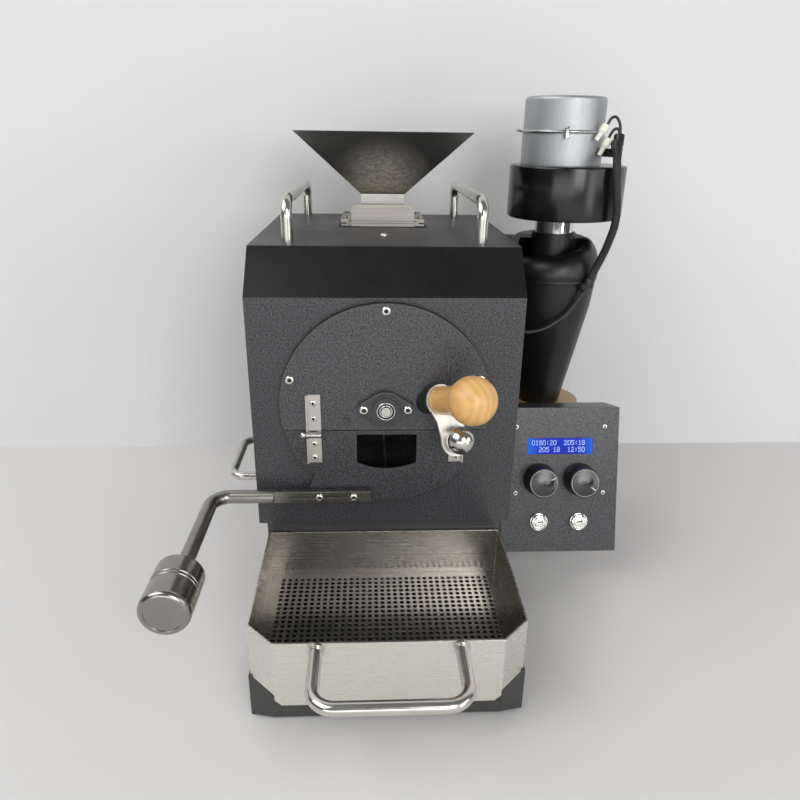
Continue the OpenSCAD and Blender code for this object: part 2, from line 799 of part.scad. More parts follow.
module exhaust_duct() {
    color("#1a1b1c") difference() {
        translate([0, duct_y, duct_z]) rod_x(duct_r, 80, cyclone_x - 2);
        translate([0, duct_y, duct_z]) rod_x(duct_r - 1.5, 79, cyclone_x);
        at_cyclone() cyclone_outside();
    }
}

// Outer solid of the cyclone: cone, seam ring, body, dome and neck
module cyclone_outside() {
    dome_z = 303;
    rotate_extrude() polygon(concat(
        [[0, cyc_bottom], [24, cyc_bottom], [47, 255], [cyclone_r - 1.5, seam_ring_z], [cyclone_r, dome_z]],
        [for (a = [15:15:75]) [34 + 18 * cos(a), dome_z + 24 * sin(a)]],
        [[34, 327], [23.5, 329], [23.5, 334], [0, 334]]));
    translate([0, 0, seam_ring_z - 0.6]) cylinder(r = cyclone_r, h = 1.2);
}

module cyclone() {
    color("#1c1d1e") at_cyclone() difference() {
        cyclone_outside();
        rotate_extrude() polygon([[0, cyc_bottom - 1], [21.5, cyc_bottom - 1], [44.5, 255],
            [cyclone_r - 4, seam_ring_z], [cyclone_r - 2.5, 303], [47, 314], [36, 323], [0, 325]]);
        cylinder(r = pipe_r, h = 400);
        translate([0, duct_y - cyclone_y, duct_z]) rod_x(duct_r - 1.5, -80, 0);
    }
}

module outlet_pipe() {
    color("#d2d3d0") at_cyclone() difference() {
        translate([0, 0, 280]) cylinder(r = pipe_r, h = blower_z - 280);
        translate([0, 0, 279]) cylinder(r = pipe_r - 1.5, h = blower_z - 277);
    }
}

module jar_lid() {
    color("#c9a06a") at_cyclone() difference() {
        translate([0, 0, cyc_bottom - 11]) cylinder(r = 46, h = 11);
        translate([0, 0, cyc_bottom - 12]) cylinder(r = 21.5, h = 13);
    }
}

module chaff_jar() {
    color("#b8c4c8", 0.6) at_cyclone() difference() {
        cylinder(r = 42, h = cyc_bottom - 11);
        translate([0, 0, 3]) cylinder(r = 39.5, h = cyc_bottom);
    }
}

// Volute outline: a spiral that opens from the left round the front to the outlet at the right
function volute_r(a) = 52 + 18 * (a - 180) / 180;
module volute_outline(inset) {
    polygon(concat([for (a = [180:6:360]) (volute_r(a) - inset) * [cos(a), sin(a)]],
        [[70 - inset, 54 - inset], [18 + inset, 54 - inset]],
        [for (a = [72:6:174]) (52 - inset) * [cos(a), sin(a)]]));
}

module blower_housing() {
    color("#1d1e1f") at_cyclone() translate([0, 0, blower_z]) difference() {
        linear_extrude(blower_h) volute_outline(0);
        translate([0, 0, 2]) linear_extrude(blower_h - 4) volute_outline(2);
        // Outlet mouth at the back, inlet below, motor shaft above
        span([20, 40, 2], [68, 60, blower_h - 2]);
        translate([0, 0, -1]) cylinder(r = pipe_r - 1.5, h = 5);
        translate([0, 0, blower_h - 3]) cylinder(r = 6, h = 5);
    }
}

module impeller() {
    color("#55585a") at_cyclone() translate([0, 0, blower_z]) {
        translate([0, 0, 38]) cylinder(r = 42, h = 2);
        for (k = [0:11]) rotate([0, 0, 30 * k]) translate([34, 0, 8]) rotate([0, 0, 35])
            translate([-6, -0.8, 0]) cube([12, 1.6, 31]);
        translate([0, 0, 30]) cylinder(r = 8, h = 9);
        translate([0, 0, 38]) cylinder(r = 3, h = blower_h - 38 + 12);
    }
}

module blower_motor() {
    lower = 32;
    color("#a8adaf") at_cyclone() translate([0, 0, motor_z]) difference() {
        union() {
            cylinder(r = motor_r - 0.5, h = lower);
            rotate_extrude() polygon(concat([[0, lower], [motor_r - 1, lower], [motor_r - 1, motor_h - 4]],
                [for (a = [15:15:90]) [motor_r - 5 + 4 * cos(a), motor_h - 4 + 4 * sin(a)]], [[0, motor_h]]));
            // Clamp ring round the joint of the two cups, with its screw block in front
            translate([0, 0, lower]) rotate_extrude() translate([motor_r + 0.4, 0]) circle(1.4);
            translate([-1, -motor_r - 5, lower - 4]) cube([5, 5, 8]);
            translate([-motor_r - 5, -2, lower - 1]) cube([6, 4, 2]);
        }
        translate([0, 0, -1]) cylinder(r = 3.06, h = 15);
    }
}

// Crimp connector boot from point a on the can to point b, where its wire comes in
module connector_boot(a, b) {
    d = b - a;
    l = norm(d);
    translate(a) rotate([0, acos(d[2] / l), atan2(d[1], d[0])]) {
        cylinder(r = 2, h = l * 0.45);
        translate([0, 0, l * 0.45]) cylinder(r1 = 2, r2 = 3.6, h = l * 0.2);
        translate([0, 0, l * 0.65]) cylinder(r = 3.6, h = l * 0.35);
    }
}

module cable_fittings() {
    // White boots on blades at the side of the can
    color("#efece2") {
        connector_boot([211, 169.3, 427.5], [220.5, 170, 441.7]);
        connector_boot([217.4, 174, 413.5], [224.5, 171, 430]);
    }
    color("#c4c5c2") at_cyclone() for (t = [[-59.3, 425], [-49.1, 411]]) difference() {
        rotate([0, 0, t[0]]) translate([motor_r - 2, -0.4, t[1]]) cube([6, 0.8, 6]);
        cylinder(r = motor_r - 0.5, h = 500);
    }
    color("#161616") for (w = wire_routes) swept_tube(w, wire_d / 2, 6);
    // Arm on the can that holds the cable's upper end
    color("#101010") difference() {
        translate([228, 178, 416]) rotate([0, 0, -70]) cube([24, 5, 8], center = true);
        at_cyclone() cylinder(r = motor_r - 0.5, h = 500);
        swept_tube(cable_route, cable_d / 2 - 0.5, 10);
    }
    // Clip that holds the cable on the cyclone
    color("#101010") difference() {
        translate([216.5, 162, 283.5]) rotate([0, 0, 33]) cube([16, 11, 16], center = true);
        at_cyclone() cyclone_outside();
    }
    // Grommet in the cabinet's side
    color("#101010") translate([0, 123, 247]) rod_x(4.5, half, half + 3.5);
}

module motor_cable() {
    color("#161616") swept_tube(cable_route, cable_d / 2, 10);
}

module sensor_lead() {
    color("#161616") swept_tube(lead_route, lead_d / 2, 8);
}

// ---- Controls ----

// Frame of the control panel: X to the right, Z up the panel, Y into the box
module on_panel() {
    translate([panel_x, panel_y, panel_z]) rotate([-panel_tilt, 0, 0]) children();
}

module control_box() {
    hw = panel_w / 2;
    color("#2b2d2f") {
        on_panel() difference() {
            span([-hw, sheet, panel_up - panel_h], [hw, panel_t, panel_up]);
            span([-hw + sheet, sheet - e, panel_up - panel_h + sheet],
                [hw - sheet, panel_t - sheet, panel_up - sheet]);
        }
        // Spacer that holds it to the cabinet's side
        span([half, 60, 112], [panel_x - hw, 92, 160]);
    }
}

module control_panel() {
    hw = panel_w / 2;
    on_panel() {
        color("#2b2d2f") difference() {
            span([-hw, 0, panel_up - panel_h], [hw, sheet, panel_up]);
            span([-display_w / 2, -e, -display_h / 2], [display_w / 2, sheet + e, display_h / 2]);
            for (x = [-knob_u, knob_u]) {
                translate([x, 0, knob_v]) rod_y(3.5, -e, sheet + e);
                translate([x, 0, button_v]) rod_y(7.2, -e, sheet + e);
            }
        }
        // Rings round the buttons, with the button bodies behind the panel
        color("#cfd0cd") for (x = [-knob_u, knob_u]) translate([x, 0, button_v]) difference() {
            union() {
                rod_y(9.2, -2, 0);
                rod_y(8.8, sheet, 18);
            }
            rod_y(7.2, -3, 12);
        }
    }
}

module display() {
    color("#1f49d8") on_panel() {
        span([-display_w / 2 + 0.1, 0.4, -display_h / 2 + 0.1], [display_w / 2 - 0.1, sheet, display_h / 2 - 0.1]);
        span([-40, sheet, -18], [40, sheet + 8, 18]);
    }
}

module knob() {
    r = knob_d / 2;
    color("#17181a") rotate([90, 0, 0]) {
        translate([0, 0, 0.6]) cylinder(r = r, h = 3);
        translate([0, 0, 3.6]) cylinder(r1 = r - 1, r2 = r - 1.5, h = 15.4);
        translate([0, 0, -14]) cylinder(r = 3, h = 15);
    }
}

module knob_left() {
    on_panel() translate([-knob_u, 0, knob_v]) knob();
}

module knob_right() {
    on_panel() translate([knob_u, 0, knob_v]) knob();
}

module button() {
    color("#dcdcd8") rod_y(7.1, -4, 8);
}

module button_left() {
    on_panel() translate([-knob_u, 0, button_v]) button();
}

module button_right() {
    on_panel() translate([knob_u, 0, button_v]) button();
}

base_box();
rubber_feet();
fan_frame();
fan_rotor();
cooling_tray();
perforated_screen();
tray_handle();
front_panel();
body_shell();
top_cover();
top_handles();
mains_inlet();
chaff_drawer();
drawer_handle();
face_plate();
bearing_flange();
bearing_insert();
temperature_probe();
case_screws();
hinge_upper_leaves();
hinge_pins();
discharge_door();
window_glass();
hinge_lower_leaves();
door_screws();
door_lever();
counterweight();
trier_sleeve();
trier_spoon();
trier_plate();
trier_ball();
trier_handle();
heat_shield();
heater_tubes();
drum();
drum_shaft();
rear_bulkhead();
gear_motor();
inlet_chute();
gate_rails();
feed_gate();
hopper();
exhaust_duct();
cyclone();
outlet_pipe();
jar_lid();
chaff_jar();
blower_housing();
impeller();
blower_motor();
cable_fittings();
motor_cable();
sensor_lead();
control_box();
control_panel();
display();
knob_left();
knob_right();
button_left();
button_right();
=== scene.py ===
import math
import bmesh
import bpy
from mathutils import Matrix, Vector


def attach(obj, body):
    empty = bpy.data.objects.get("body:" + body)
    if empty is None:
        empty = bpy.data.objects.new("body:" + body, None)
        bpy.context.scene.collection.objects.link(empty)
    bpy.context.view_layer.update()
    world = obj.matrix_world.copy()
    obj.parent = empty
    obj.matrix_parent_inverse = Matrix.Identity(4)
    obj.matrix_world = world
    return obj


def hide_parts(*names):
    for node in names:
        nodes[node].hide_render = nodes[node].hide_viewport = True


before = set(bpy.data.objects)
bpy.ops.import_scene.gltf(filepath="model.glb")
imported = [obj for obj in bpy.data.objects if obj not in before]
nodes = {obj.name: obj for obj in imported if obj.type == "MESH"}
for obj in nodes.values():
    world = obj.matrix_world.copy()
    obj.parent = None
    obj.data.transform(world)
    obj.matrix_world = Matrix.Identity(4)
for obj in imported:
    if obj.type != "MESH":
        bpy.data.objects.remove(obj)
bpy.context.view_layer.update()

# ---- Camera ----
# It stands where the photograph was taken: close in front, above the worktop, looking down at the machine.
# Its place, angles and focal length were fitted to the corners of the cabinet, the tray and the control box.
yaw, pitch, roll = math.radians(2.75), math.radians(21.92), math.radians(-0.81)
forward = Vector((math.sin(yaw) * math.cos(pitch), math.cos(yaw) * math.cos(pitch), -math.sin(pitch)))
level = Vector((math.cos(yaw), -math.sin(yaw), 0))
down = forward.cross(level)
across = math.cos(roll) * level + math.sin(roll) * down
upward = math.sin(roll) * level - math.cos(roll) * down
film_width, focal_pixels, frame_pixels = 36, 665, 800
standpoint = (-0.01304, -0.52861, 0.43226)
lens = bpy.data.cameras.new("camera")
lens.sensor_width = film_width
lens.lens = film_width * focal_pixels / frame_pixels
camera = bpy.data.objects.new("camera", lens)
bpy.context.scene.collection.objects.link(camera)
aimed_at_machine = Matrix((across, upward, -forward)).transposed().to_4x4()
camera.matrix_world = Matrix.Translation(standpoint) @ aimed_at_machine
bpy.context.scene.camera = camera
bpy.context.scene.view_settings.view_transform = "Standard"


# ---- Motor cable and sensor lead ----
# Black braided sleeve round the motor's wires, and a thin lead with a smooth jacket into the cabinet.
# The sleeve ends open beside the motor, where the wires come out. Both end in the clip on the cyclone.
def mm(*lengths):
    return Vector(lengths) / 1000


def smooth_line(points, steps):
    line = []
    for i, (start, end) in enumerate(zip(points, points[1:])):
        a, b = mm(*start), mm(*end)
        before = mm(*points[i - 1]) if i else a * 2 - b
        after = mm(*points[i + 2]) if i + 2 < len(points) else b * 2 - a
        for k in range(steps):
            t = k / steps
            line.append(0.5 * (2 * a + (b - before) * t + (2 * before - 5 * a + 4 * b - after) * t ** 2
                               + (3 * a - before - 3 * b + after) * t ** 3))
    return line + [mm(*points[-1])]


def sweep(bm, line, radius, sides, closed=False):
    uv = bm.loops.layers.uv.verify()
    rings, travelled = [], [0]
    side = Vector((0.31, 0.05, 0.95))
    for i, point in enumerate(line):
        if closed:
            heading = (line[(i + 1) % len(line)] - line[i - 1]).normalized()
        else:
            heading = (line[min(i + 1, len(line) - 1)] - line[max(i - 1, 0)]).normalized()
        side = (side - heading * heading.dot(side)).normalized()
        other = heading.cross(side)
        if i:
            travelled.append(travelled[-1] + (point - line[i - 1]).length)
        rings.append([bm.verts.new(point + radius / 1000 * (math.cos(a) * side + math.sin(a) * other))
                      for a in (2 * math.pi * k / sides for k in range(sides))])
    if closed:
        rings.append(rings[0])
        travelled.append(travelled[-1] + (line[0] - line[-1]).length)
    for i, (ring, after) in enumerate(zip(rings, rings[1:])):
        for k in range(sides):
            n = (k + 1) % sides
            face = bm.faces.new((ring[k], ring[n], after[n], after[k]))
            for loop, u, v in zip(face.loops, (k, k + 1, k + 1, k), (i, i, i + 1, i + 1)):
                loop[uv].uv = (u / sides, travelled[v])
    if not closed:
        bm.faces.new(reversed(rings[0]))
        bm.faces.new(rings[-1])


def piece(name, bm, body, finish, place=Matrix(), crease=35):
    bmesh.ops.recalc_face_normals(bm, faces=bm.faces[:])
    for edge in bm.edges:
        edge.smooth = edge.calc_face_angle(math.pi) < math.radians(crease)
    mesh = bpy.data.meshes.new(name)
    bm.to_mesh(mesh)
    bm.free()
    mesh.materials.append(finish)
    for polygon in mesh.polygons:
        polygon.use_smooth = True
    made = bpy.data.objects.new(name, mesh)
    bpy.context.scene.collection.objects.link(made)
    made.matrix_world = place
    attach(made, body)
    return made


def add(tree, kind, settings=(), **sockets):
    made = tree.nodes.new("ShaderNode" + kind)
    for setting, value in dict(settings).items():
        setattr(made, setting, value)
    for socket, value in sockets.items():
        plug(tree, value, made.inputs[socket.replace("_", " ")])
    return made


def plug(tree, value, socket):
    if isinstance(value, bpy.types.NodeSocket):
        tree.links.new(value, socket)
    elif isinstance(value, tuple) and len(value) < len(getattr(socket, "default_value", ())):
        socket.default_value = (*value, 1)
    else:
        socket.default_value = value


def work_out(tree, operation, a, b=0.0):
    made = add(tree, "Math", {"operation": operation})
    plug(tree, a, made.inputs[0])
    plug(tree, b, made.inputs[1])
    return made.outputs[0]


def vector_work(tree, operation, a, b=(0, 0, 0)):
    made = add(tree, "VectorMath", {"operation": operation})
    plug(tree, a, made.inputs[0])
    plug(tree, b, made.inputs[1])
    return made.outputs


def axis_of(tree, vector, axis):
    return add(tree, "SeparateXYZ", Vector=vector).outputs[axis]


def noise(tree, scale, detail=2.0, **sockets):
    return add(tree, "TexNoise", Scale=scale, Detail=detail, **sockets).outputs["Fac"]


def blend_colours(tree, mask, dark, light):
    made = add(tree, "Mix", {"data_type": "RGBA"})
    plug(tree, mask, made.inputs[0])
    plug(tree, dark, made.inputs[6])
    plug(tree, light, made.inputs[7])
    return made.outputs[2]


def spread(tree, value, low, high, start=0.0, stop=1.0):
    made = add(tree, "MapRange", Value=value)
    for socket, number in zip(made.inputs[1:5], (start, stop, low, high)):
        socket.default_value = number
    return made.outputs["Result"]


def two_tone(tree, shader, mask, dark, light, socket="Base Color"):
    plug(tree, blend_colours(tree, mask, dark, light), shader.inputs[socket])


def roughen(tree, shader, mask, low, high):
    plug(tree, spread(tree, mask, low, high), shader.inputs["Roughness"])


def dent(tree, shader, height, strength, distance, **sockets):
    made = add(tree, "Bump", Strength=strength, Distance=distance, Height=height, **sockets)
    plug(tree, made.outputs["Normal"], shader.inputs["Normal"])


def inside(finish):
    return finish.node_tree, finish.node_tree.nodes["Principled BSDF"]


def new_finish(name, colour, roughness, metallic=0.0, **sockets):
    made = bpy.data.materials.new(name)
    made.use_nodes = True
    tree, shader = inside(made)
    plug(tree, colour, shader.inputs["Base Color"])
    shader.inputs["Roughness"].default_value = roughness
    shader.inputs["Metallic"].default_value = metallic
    for socket, value in sockets.items():
        plug(tree, value, shader.inputs[socket.replace("_", " ")])
    return made, tree, shader


sleeve_braid, tree, shader = new_finish("braided sleeve", (0.012, 0.012, 0.013), 0.6)
around = add(tree, "SeparateXYZ", Vector=add(tree, "UVMap").outputs["UV"]).outputs
strands_round, strands_per_metre = 12.0, 480.0
turns = work_out(tree, "MULTIPLY", around["X"], strands_round)
pitches = work_out(tree, "MULTIPLY", around["Y"], strands_per_metre)
strands = [work_out(tree, "PINGPONG", work_out(tree, way, turns, pitches), 1.0)
           for way in ("ADD", "SUBTRACT")]
crossing = work_out(tree, "MAXIMUM", *strands)
two_tone(tree, shader, crossing, (0.006, 0.006, 0.007), (0.016, 0.016, 0.017))
roughen(tree, shader, crossing, 0.75, 0.6)
dent(tree, shader, crossing, 0.4, 0.0003)

cable_line = smooth_line([(235, 172, 432), (233.6, 168.4, 425), (231.6, 162.2, 417), (230, 155.4, 409),
                          (229.2, 150.4, 400), (230, 149.8, 388), (233, 150.8, 374), (235, 152, 359),
                          (235, 153, 347), (233, 155, 335), (230, 158, 321), (225.5, 160.5, 307),
                          (221, 161.5, 296), (219.5, 161.5, 290)], 5)
bm = bmesh.new()
sweep(bm, cable_line, 4, 24)
motor_cable = piece("motor_cable_sleeve", bm, "machine", sleeve_braid)
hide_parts("motor_cable")

lead_jacket, tree, shader = new_finish("lead jacket", (0.014, 0.014, 0.015), 0.35)
dust = noise(tree, 260.0, 3.0)
roughen(tree, shader, dust, 0.25, 0.5)
two_tone(tree, shader, dust, (0.008, 0.008, 0.009), (0.03, 0.03, 0.032))
lead_line = smooth_line([(213, 160, 277), (204, 159, 263), (195, 158, 252), (183, 156, 244),
                         (170, 152, 239), (157, 146, 238), (144, 138, 241), (132, 130, 245),
                         (124, 125, 247), (118, 123, 247)], 5)
bm = bmesh.new()
sweep(bm, lead_line, 1.75, 16)
sensor_lead = piece("sensor_lead_jacket", bm, "machine", lead_jacket)
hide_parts("sensor_lead")


# ---- Base box, feet and cooling fan ----
# A folded steel box under the tray and the cabinet, painted satin black, on moulded rubber feet.
# Its inside is the air way from the tray to the fan, a moulded frame and rotor behind slots in the back.
def effect(name, inputs, outputs):
    group = bpy.data.node_groups.new(name, "ShaderNodeTree")
    for socket, kind, value in inputs:
        made = group.interface.new_socket(name=socket, in_out="INPUT", socket_type="NodeSocket" + kind)
        if value is not None:
            made.default_value = value
    for socket, kind in outputs:
        group.interface.new_socket(name=socket, in_out="OUTPUT", socket_type="NodeSocket" + kind)
    return group, group.nodes.new("NodeGroupInput").outputs, group.nodes.new("NodeGroupOutput").inputs


soft_edges, given, result = effect("soft edges", [("Radius", "Float", 0.0006)],
                                   [("Normal", "Vector"), ("Edge", "Float")])
rounded = add(soft_edges, "Bevel", {"samples": 6}, Radius=given["Radius"]).outputs["Normal"]
flat = add(soft_edges, "NewGeometry").outputs["True Normal"]
likeness = vector_work(soft_edges, "DOT_PRODUCT", rounded, flat)["Value"]
plug(soft_edges, rounded, result["Normal"])
plug(soft_edges, spread(soft_edges, likeness, 1, 0, 0.75, 0.99), result["Edge"])

fine_grain, given, result = effect("fine grain", [("Scale", "Float", 900.0), ("Depth", "Float", 0.0001),
                                                  ("Normal", "Vector", None)],
                                   [("Normal", "Vector"), ("Speckle", "Float"), ("Cloud", "Float")])
spot = add(fine_grain, "TexCoord").outputs["Object"]
speckle = noise(fine_grain, given["Scale"], 4.0, Vector=spot, Roughness=0.75)
cloud = noise(fine_grain, 14.0, 4.0, Vector=spot, Roughness=0.6)
bump = add(fine_grain, "Bump", Strength=0.6, Distance=given["Depth"], Height=speckle, Normal=given["Normal"])
plug(fine_grain, bump.outputs["Normal"], result["Normal"])
plug(fine_grain, spread(fine_grain, speckle, 0, 1, 0.38, 0.64), result["Speckle"])
plug(fine_grain, spread(fine_grain, cloud, 0, 1, 0.3, 0.7), result["Cloud"])


def painted(name, dark, light, worn, roughness, grain, depth, edge=0.0006, **sockets):
    made, tree, shader = new_finish(name, dark, roughness, **sockets)
    soft = add(tree, "Group", {"node_tree": soft_edges}, Radius=edge).outputs
    fine = add(tree, "Group", {"node_tree": fine_grain}, Scale=grain, Depth=depth,
               Normal=soft["Normal"]).outputs
    paint = blend_colours(tree, fine["Speckle"], dark, light)
    scuffs = work_out(tree, "MULTIPLY", soft["Edge"], spread(tree, fine["Cloud"], 0.2, 0.8))
    two_tone(tree, shader, scuffs, paint, worn)
    sheen = work_out(tree, "ADD", spread(tree, fine["Speckle"], 0.06, -0.04),
                     spread(tree, fine["Cloud"], -0.04, 0.04))
    plug(tree, work_out(tree, "ADD", sheen, roughness), shader.inputs["Roughness"])
    plug(tree, fine["Normal"], shader.inputs["Normal"])
    return made


def dress(finish, *names):
    for name in names:
        nodes[name].data.materials.clear()
        nodes[name].data.materials.append(finish)


base_paint = painted("base box paint", (0.03, 0.03, 0.029), (0.05, 0.05, 0.049), (0.1, 0.1, 0.1), 0.42,
                     700, 0.00004)
foot_rubber = painted("foot rubber", (0.012, 0.012, 0.012), (0.02, 0.02, 0.02), (0.035, 0.035, 0.035), 0.75,
                      500, 0.0001)
fan_plastic = painted("fan plastic", (0.014, 0.014, 0.015), (0.022, 0.022, 0.023), (0.05, 0.05, 0.05), 0.5,
                      900, 0.00003)
dress(base_paint, "base_box")
dress(foot_rubber, "rubber_feet")
dress(fan_plastic, "fan_frame", "fan_rotor")


# ---- Cooling tray ----
# Bent and welded from brushed stainless sheet, with a perforated screen for its floor, where the beans cool.
# Its inner side walls are darkened with painted shade. It slides off the base box by a tube handle welded in
# front.
brush_marks, given, result = effect("brush marks", [("Stretch", "Vector", (4, 900, 900)),
                                                    ("Depth", "Float", 0.00003), ("Normal", "Vector", None)],
                                    [("Normal", "Vector"), ("Streak", "Float"), ("Cloud", "Float")])
spot = add(brush_marks, "TexCoord").outputs["Object"]
drawn = vector_work(brush_marks, "MULTIPLY", spot, given["Stretch"])["Vector"]
streak = noise(brush_marks, 1.0, 4.0, Vector=drawn, Roughness=0.65)
cloud = noise(brush_marks, 22.0, 3.0, Vector=spot, Roughness=0.55)
bump = add(brush_marks, "Bump", Strength=0.5, Distance=given["Depth"], Height=streak, Normal=given["Normal"])
plug(brush_marks, bump.outputs["Normal"], result["Normal"])
plug(brush_marks, spread(brush_marks, streak, 0, 1, 0.3, 0.7), result["Streak"])
plug(brush_marks, spread(brush_marks, cloud, 0, 1, 0.3, 0.7), result["Cloud"])


def bare_steel(name, colour, roughness, stretch, depth=0.00003, edge=0.0004, cast=0.15, vary=0.05, **sockets):
    made, tree, shader = new_finish(name, colour, roughness, 1.0, **sockets)
    soft = add(tree, "Group", {"node_tree": soft_edges}, Radius=edge).outputs
    marks = add(tree, "Group", {"node_tree": brush_marks}, Stretch=stretch, Depth=depth,
                Normal=soft["Normal"]).outputs
    duller = tuple(part * (1 - cast) for part in colour)
    handled = work_out(tree, "ADD", spread(tree, marks["Streak"], 0, 0.6),
                       spread(tree, marks["Cloud"], 0, 0.4))
    steel = blend_colours(tree, handled, duller, colour)
    bright = tuple(min(part * 1.12, 1) for part in colour)
    two_tone(tree, shader, soft["Edge"], steel, bright)
    shine = work_out(tree, "ADD", spread(tree, marks["Streak"], vary, -vary),
                     spread(tree, marks["Cloud"], vary, -vary))
    plug(tree, work_out(tree, "ADD", shine, roughness), shader.inputs["Roughness"])
    plug(tree, marks["Normal"], shader.inputs["Normal"])
    return made


def tint(tree, shader, mask, colour):
    two_tone(tree, shader, mask, shader.inputs["Base Color"].links[0].from_socket, colour)


tray_steel = bare_steel("tray steel", (0.78, 0.76, 0.7), 0.27, (1.5, 420, 420), 0.0000005, cast=0.06,
                        vary=0.015)
tree, shader = inside(tray_steel)
# The inner side walls are given a darker colour: painted shade.
facing = axis_of(tree, add(tree, "NewGeometry").outputs["True Normal"], "X")
side_at = axis_of(tree, add(tree, "TexCoord").outputs["Object"], "X")
painted_shade_sides = spread(tree, work_out(tree, "MULTIPLY", facing, side_at), 1, 0, -0.09, -0.03)
tint(tree, shader, work_out(tree, "MULTIPLY", painted_shade_sides, 0.85), (0.2, 0.18, 0.15))
tube_steel = bare_steel("polished tube", (0.66, 0.645, 0.6), 0.2, (60, 60, 60), 0.00001)
dress(tray_steel, "cooling_tray")
dress(tube_steel, "tray_handle")


def prism(bm, outline, low, high, place=Matrix()):
    rings = [[bm.verts.new(place @ mm(x, y, z)) for x, y in outline] for z in (low, high)]
    bm.faces.new(reversed(rings[0]))
    bm.faces.new(rings[1])
    for k in range(len(outline)):
        n = (k + 1) % len(outline)
        bm.faces.new((rings[0][k], rings[0][n], rings[1][n], rings[1][k]))


def slab(bm, low, high, place=Matrix()):
    (left, near, bottom), (right, far, top) = low, high
    prism(bm, [(left, near), (right, near), (right, far), (left, far)], bottom, top, place)


def tray_outline(inset):
    half, back, front, cut = 106.5 - inset, -1 - inset, -147 + inset, 21 - 0.586 * inset
    return [(-half, back), (-half, front + cut), (-half + cut, front), (half - cut, front),
            (half, front + cut), (half, back)]


hole_columns, hole_rows, hole_pitch, hole_radius, hole_sides = 34, 23, 5.7, 1.95, 16
first_row, corner_line = -12, 224
sheet_top, sheet_under, sheet_inset = 43.2, 42.2, 1.6
bm = bmesh.new()
for column in range(hole_columns):
    for row in range(hole_rows):
        x, y = (column - (hole_columns - 1) / 2) * hole_pitch, first_row - row * hole_pitch
        if abs(x) - y > corner_line:
            continue
        rims = []
        for k in range(hole_sides):
            a = 2 * math.pi * k / hole_sides
            reach = hole_pitch / 2 / max(abs(math.cos(a)), abs(math.sin(a)))
            section = ((reach, sheet_top), (hole_radius, sheet_top), (hole_radius, sheet_under),
                       (reach, sheet_under))
            rims.append([bm.verts.new(mm(x + r * math.cos(a), y + r * math.sin(a), z)) for r, z in section])
        for rim, after in zip(rims, rims[1:] + rims[:1]):
            for k in range(3):
                bm.faces.new((rim[k], after[k], after[k + 1], rim[k + 1]))
bmesh.ops.remove_doubles(bm, verts=bm.verts[:], dist=0.00001)
levels = []
for z in (sheet_top, sheet_under):
    border = [edge for edge in bm.edges if edge.is_boundary
              and all(abs(v.co.z - z / 1000) < 1e-6 for v in edge.verts)]
    corners = [bm.verts.new(mm(x, y, z)) for x, y in tray_outline(sheet_inset)]
    rim_edges = [bm.edges.new((a, b)) for a, b in zip(corners, corners[1:] + corners[:1])]
    bmesh.ops.triangle_fill(bm, use_beauty=True, edges=border + rim_edges)
    levels.append(corners)
for k in range(len(levels[0])):
    n = (k + 1) % len(levels[0])
    bm.faces.new((levels[0][k], levels[0][n], levels[1][n], levels[1][k]))
screen_steel = bare_steel("screen steel", (0.36, 0.34, 0.31), 0.24, (2, 500, 900), 0.000004, edge=0.0002)
screen = piece("tray_screen", bm, "tray", screen_steel)
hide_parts("perforated_screen")


# ---- Cabinet ----
# Folded sheet steel with a fine textured powder coat, a slanted band over the front panel, and a top cover.
# The band is smoother and nearly black. Tube handles are screwed on top, and a mains inlet is at the back.
coat = painted("cabinet powder coat", (0.003, 0.003, 0.0035), (0.078, 0.08, 0.088), (0.14, 0.14, 0.145),
               0.32, 640, 0.00012, 0.0009)
dress(coat, "body_shell")
# The top cover has the cabinet's coat painted darker, as shade.
top_coat_painted_darker = painted("top cover coat painted darker", (0.002, 0.002, 0.0025), (0.045, 0.045, 0.05), (0.1, 0.1, 0.105), 0.42,
                   640, 0.00008, 0.0009)
dress(top_coat_painted_darker, "top_cover")
front_coat = painted("front panel coat", (0.003, 0.003, 0.0035), (0.085, 0.088, 0.096),
                     (0.14, 0.14, 0.145), 0.32, 640, 0.00012, 0.0009)
tree, shader = inside(front_coat)
on_band = spread(tree, axis_of(tree, add(tree, "NewGeometry").outputs["True Normal"], "Z"), 0, 1, 0.3, 0.5)
tint(tree, shader, on_band, (0.004, 0.004, 0.005))
dress(front_coat, "front_panel")
dress(tube_steel, "top_handles")
inlet_plastic = painted("mains inlet plastic", (0.01, 0.01, 0.01), (0.016, 0.016, 0.016),
                        (0.04, 0.04, 0.04), 0.45, 900, 0.00003)
dress(inlet_plastic, "mains_inlet")

# ---- Chaff drawer ----
# A shallow folded tray on rails under the drum, which catches the chaff that falls past the cyclone's pull.
# It slides out of the cabinet's left side by a bent tube handle, welded to its coated front.
dress(coat, "chaff_drawer")
dress(tube_steel, "drawer_handle")

# ---- Drum, heaters and drive ----
# Steel drum rolled and welded along one seam, with lifting vanes and spiders on a turned shaft. Quartz
# heaters lie beside it under a shield. A gear motor on its bracket turns it behind the bulkhead, and a
# chute brings the green beans in.
drum_steel = bare_steel("seasoned drum steel", (0.012, 0.011, 0.009), 0.6, (200, 6, 200), 0.00006, cast=0.35)
turned_steel = bare_steel("turned steel", (0.7, 0.69, 0.66), 0.2, (900, 60, 900), 0.00002)
plain_sheet = bare_steel("plain sheet", (0.5, 0.51, 0.51), 0.42, (30, 30, 300), 0.00003, cast=0.2)
quartz = painted("quartz and ceramic", (0.78, 0.76, 0.7), (0.85, 0.83, 0.78), (0.9, 0.88, 0.84), 0.35,
                 300, 0.00003)
dress(drum_steel, "drum")
dress(turned_steel, "drum_shaft")
dress(plain_sheet, "heat_shield", "rear_bulkhead", "gear_motor", "inlet_chute")
dress(quartz, "heater_tubes")
weld_steel = bare_steel("weld steel", (0.9, 0.87, 0.8), 0.3, (30, 400, 30), 0.00006)
seam_x, seam_height, bead_radius = 0.5, 147.4, 0.9
bm = bmesh.new()
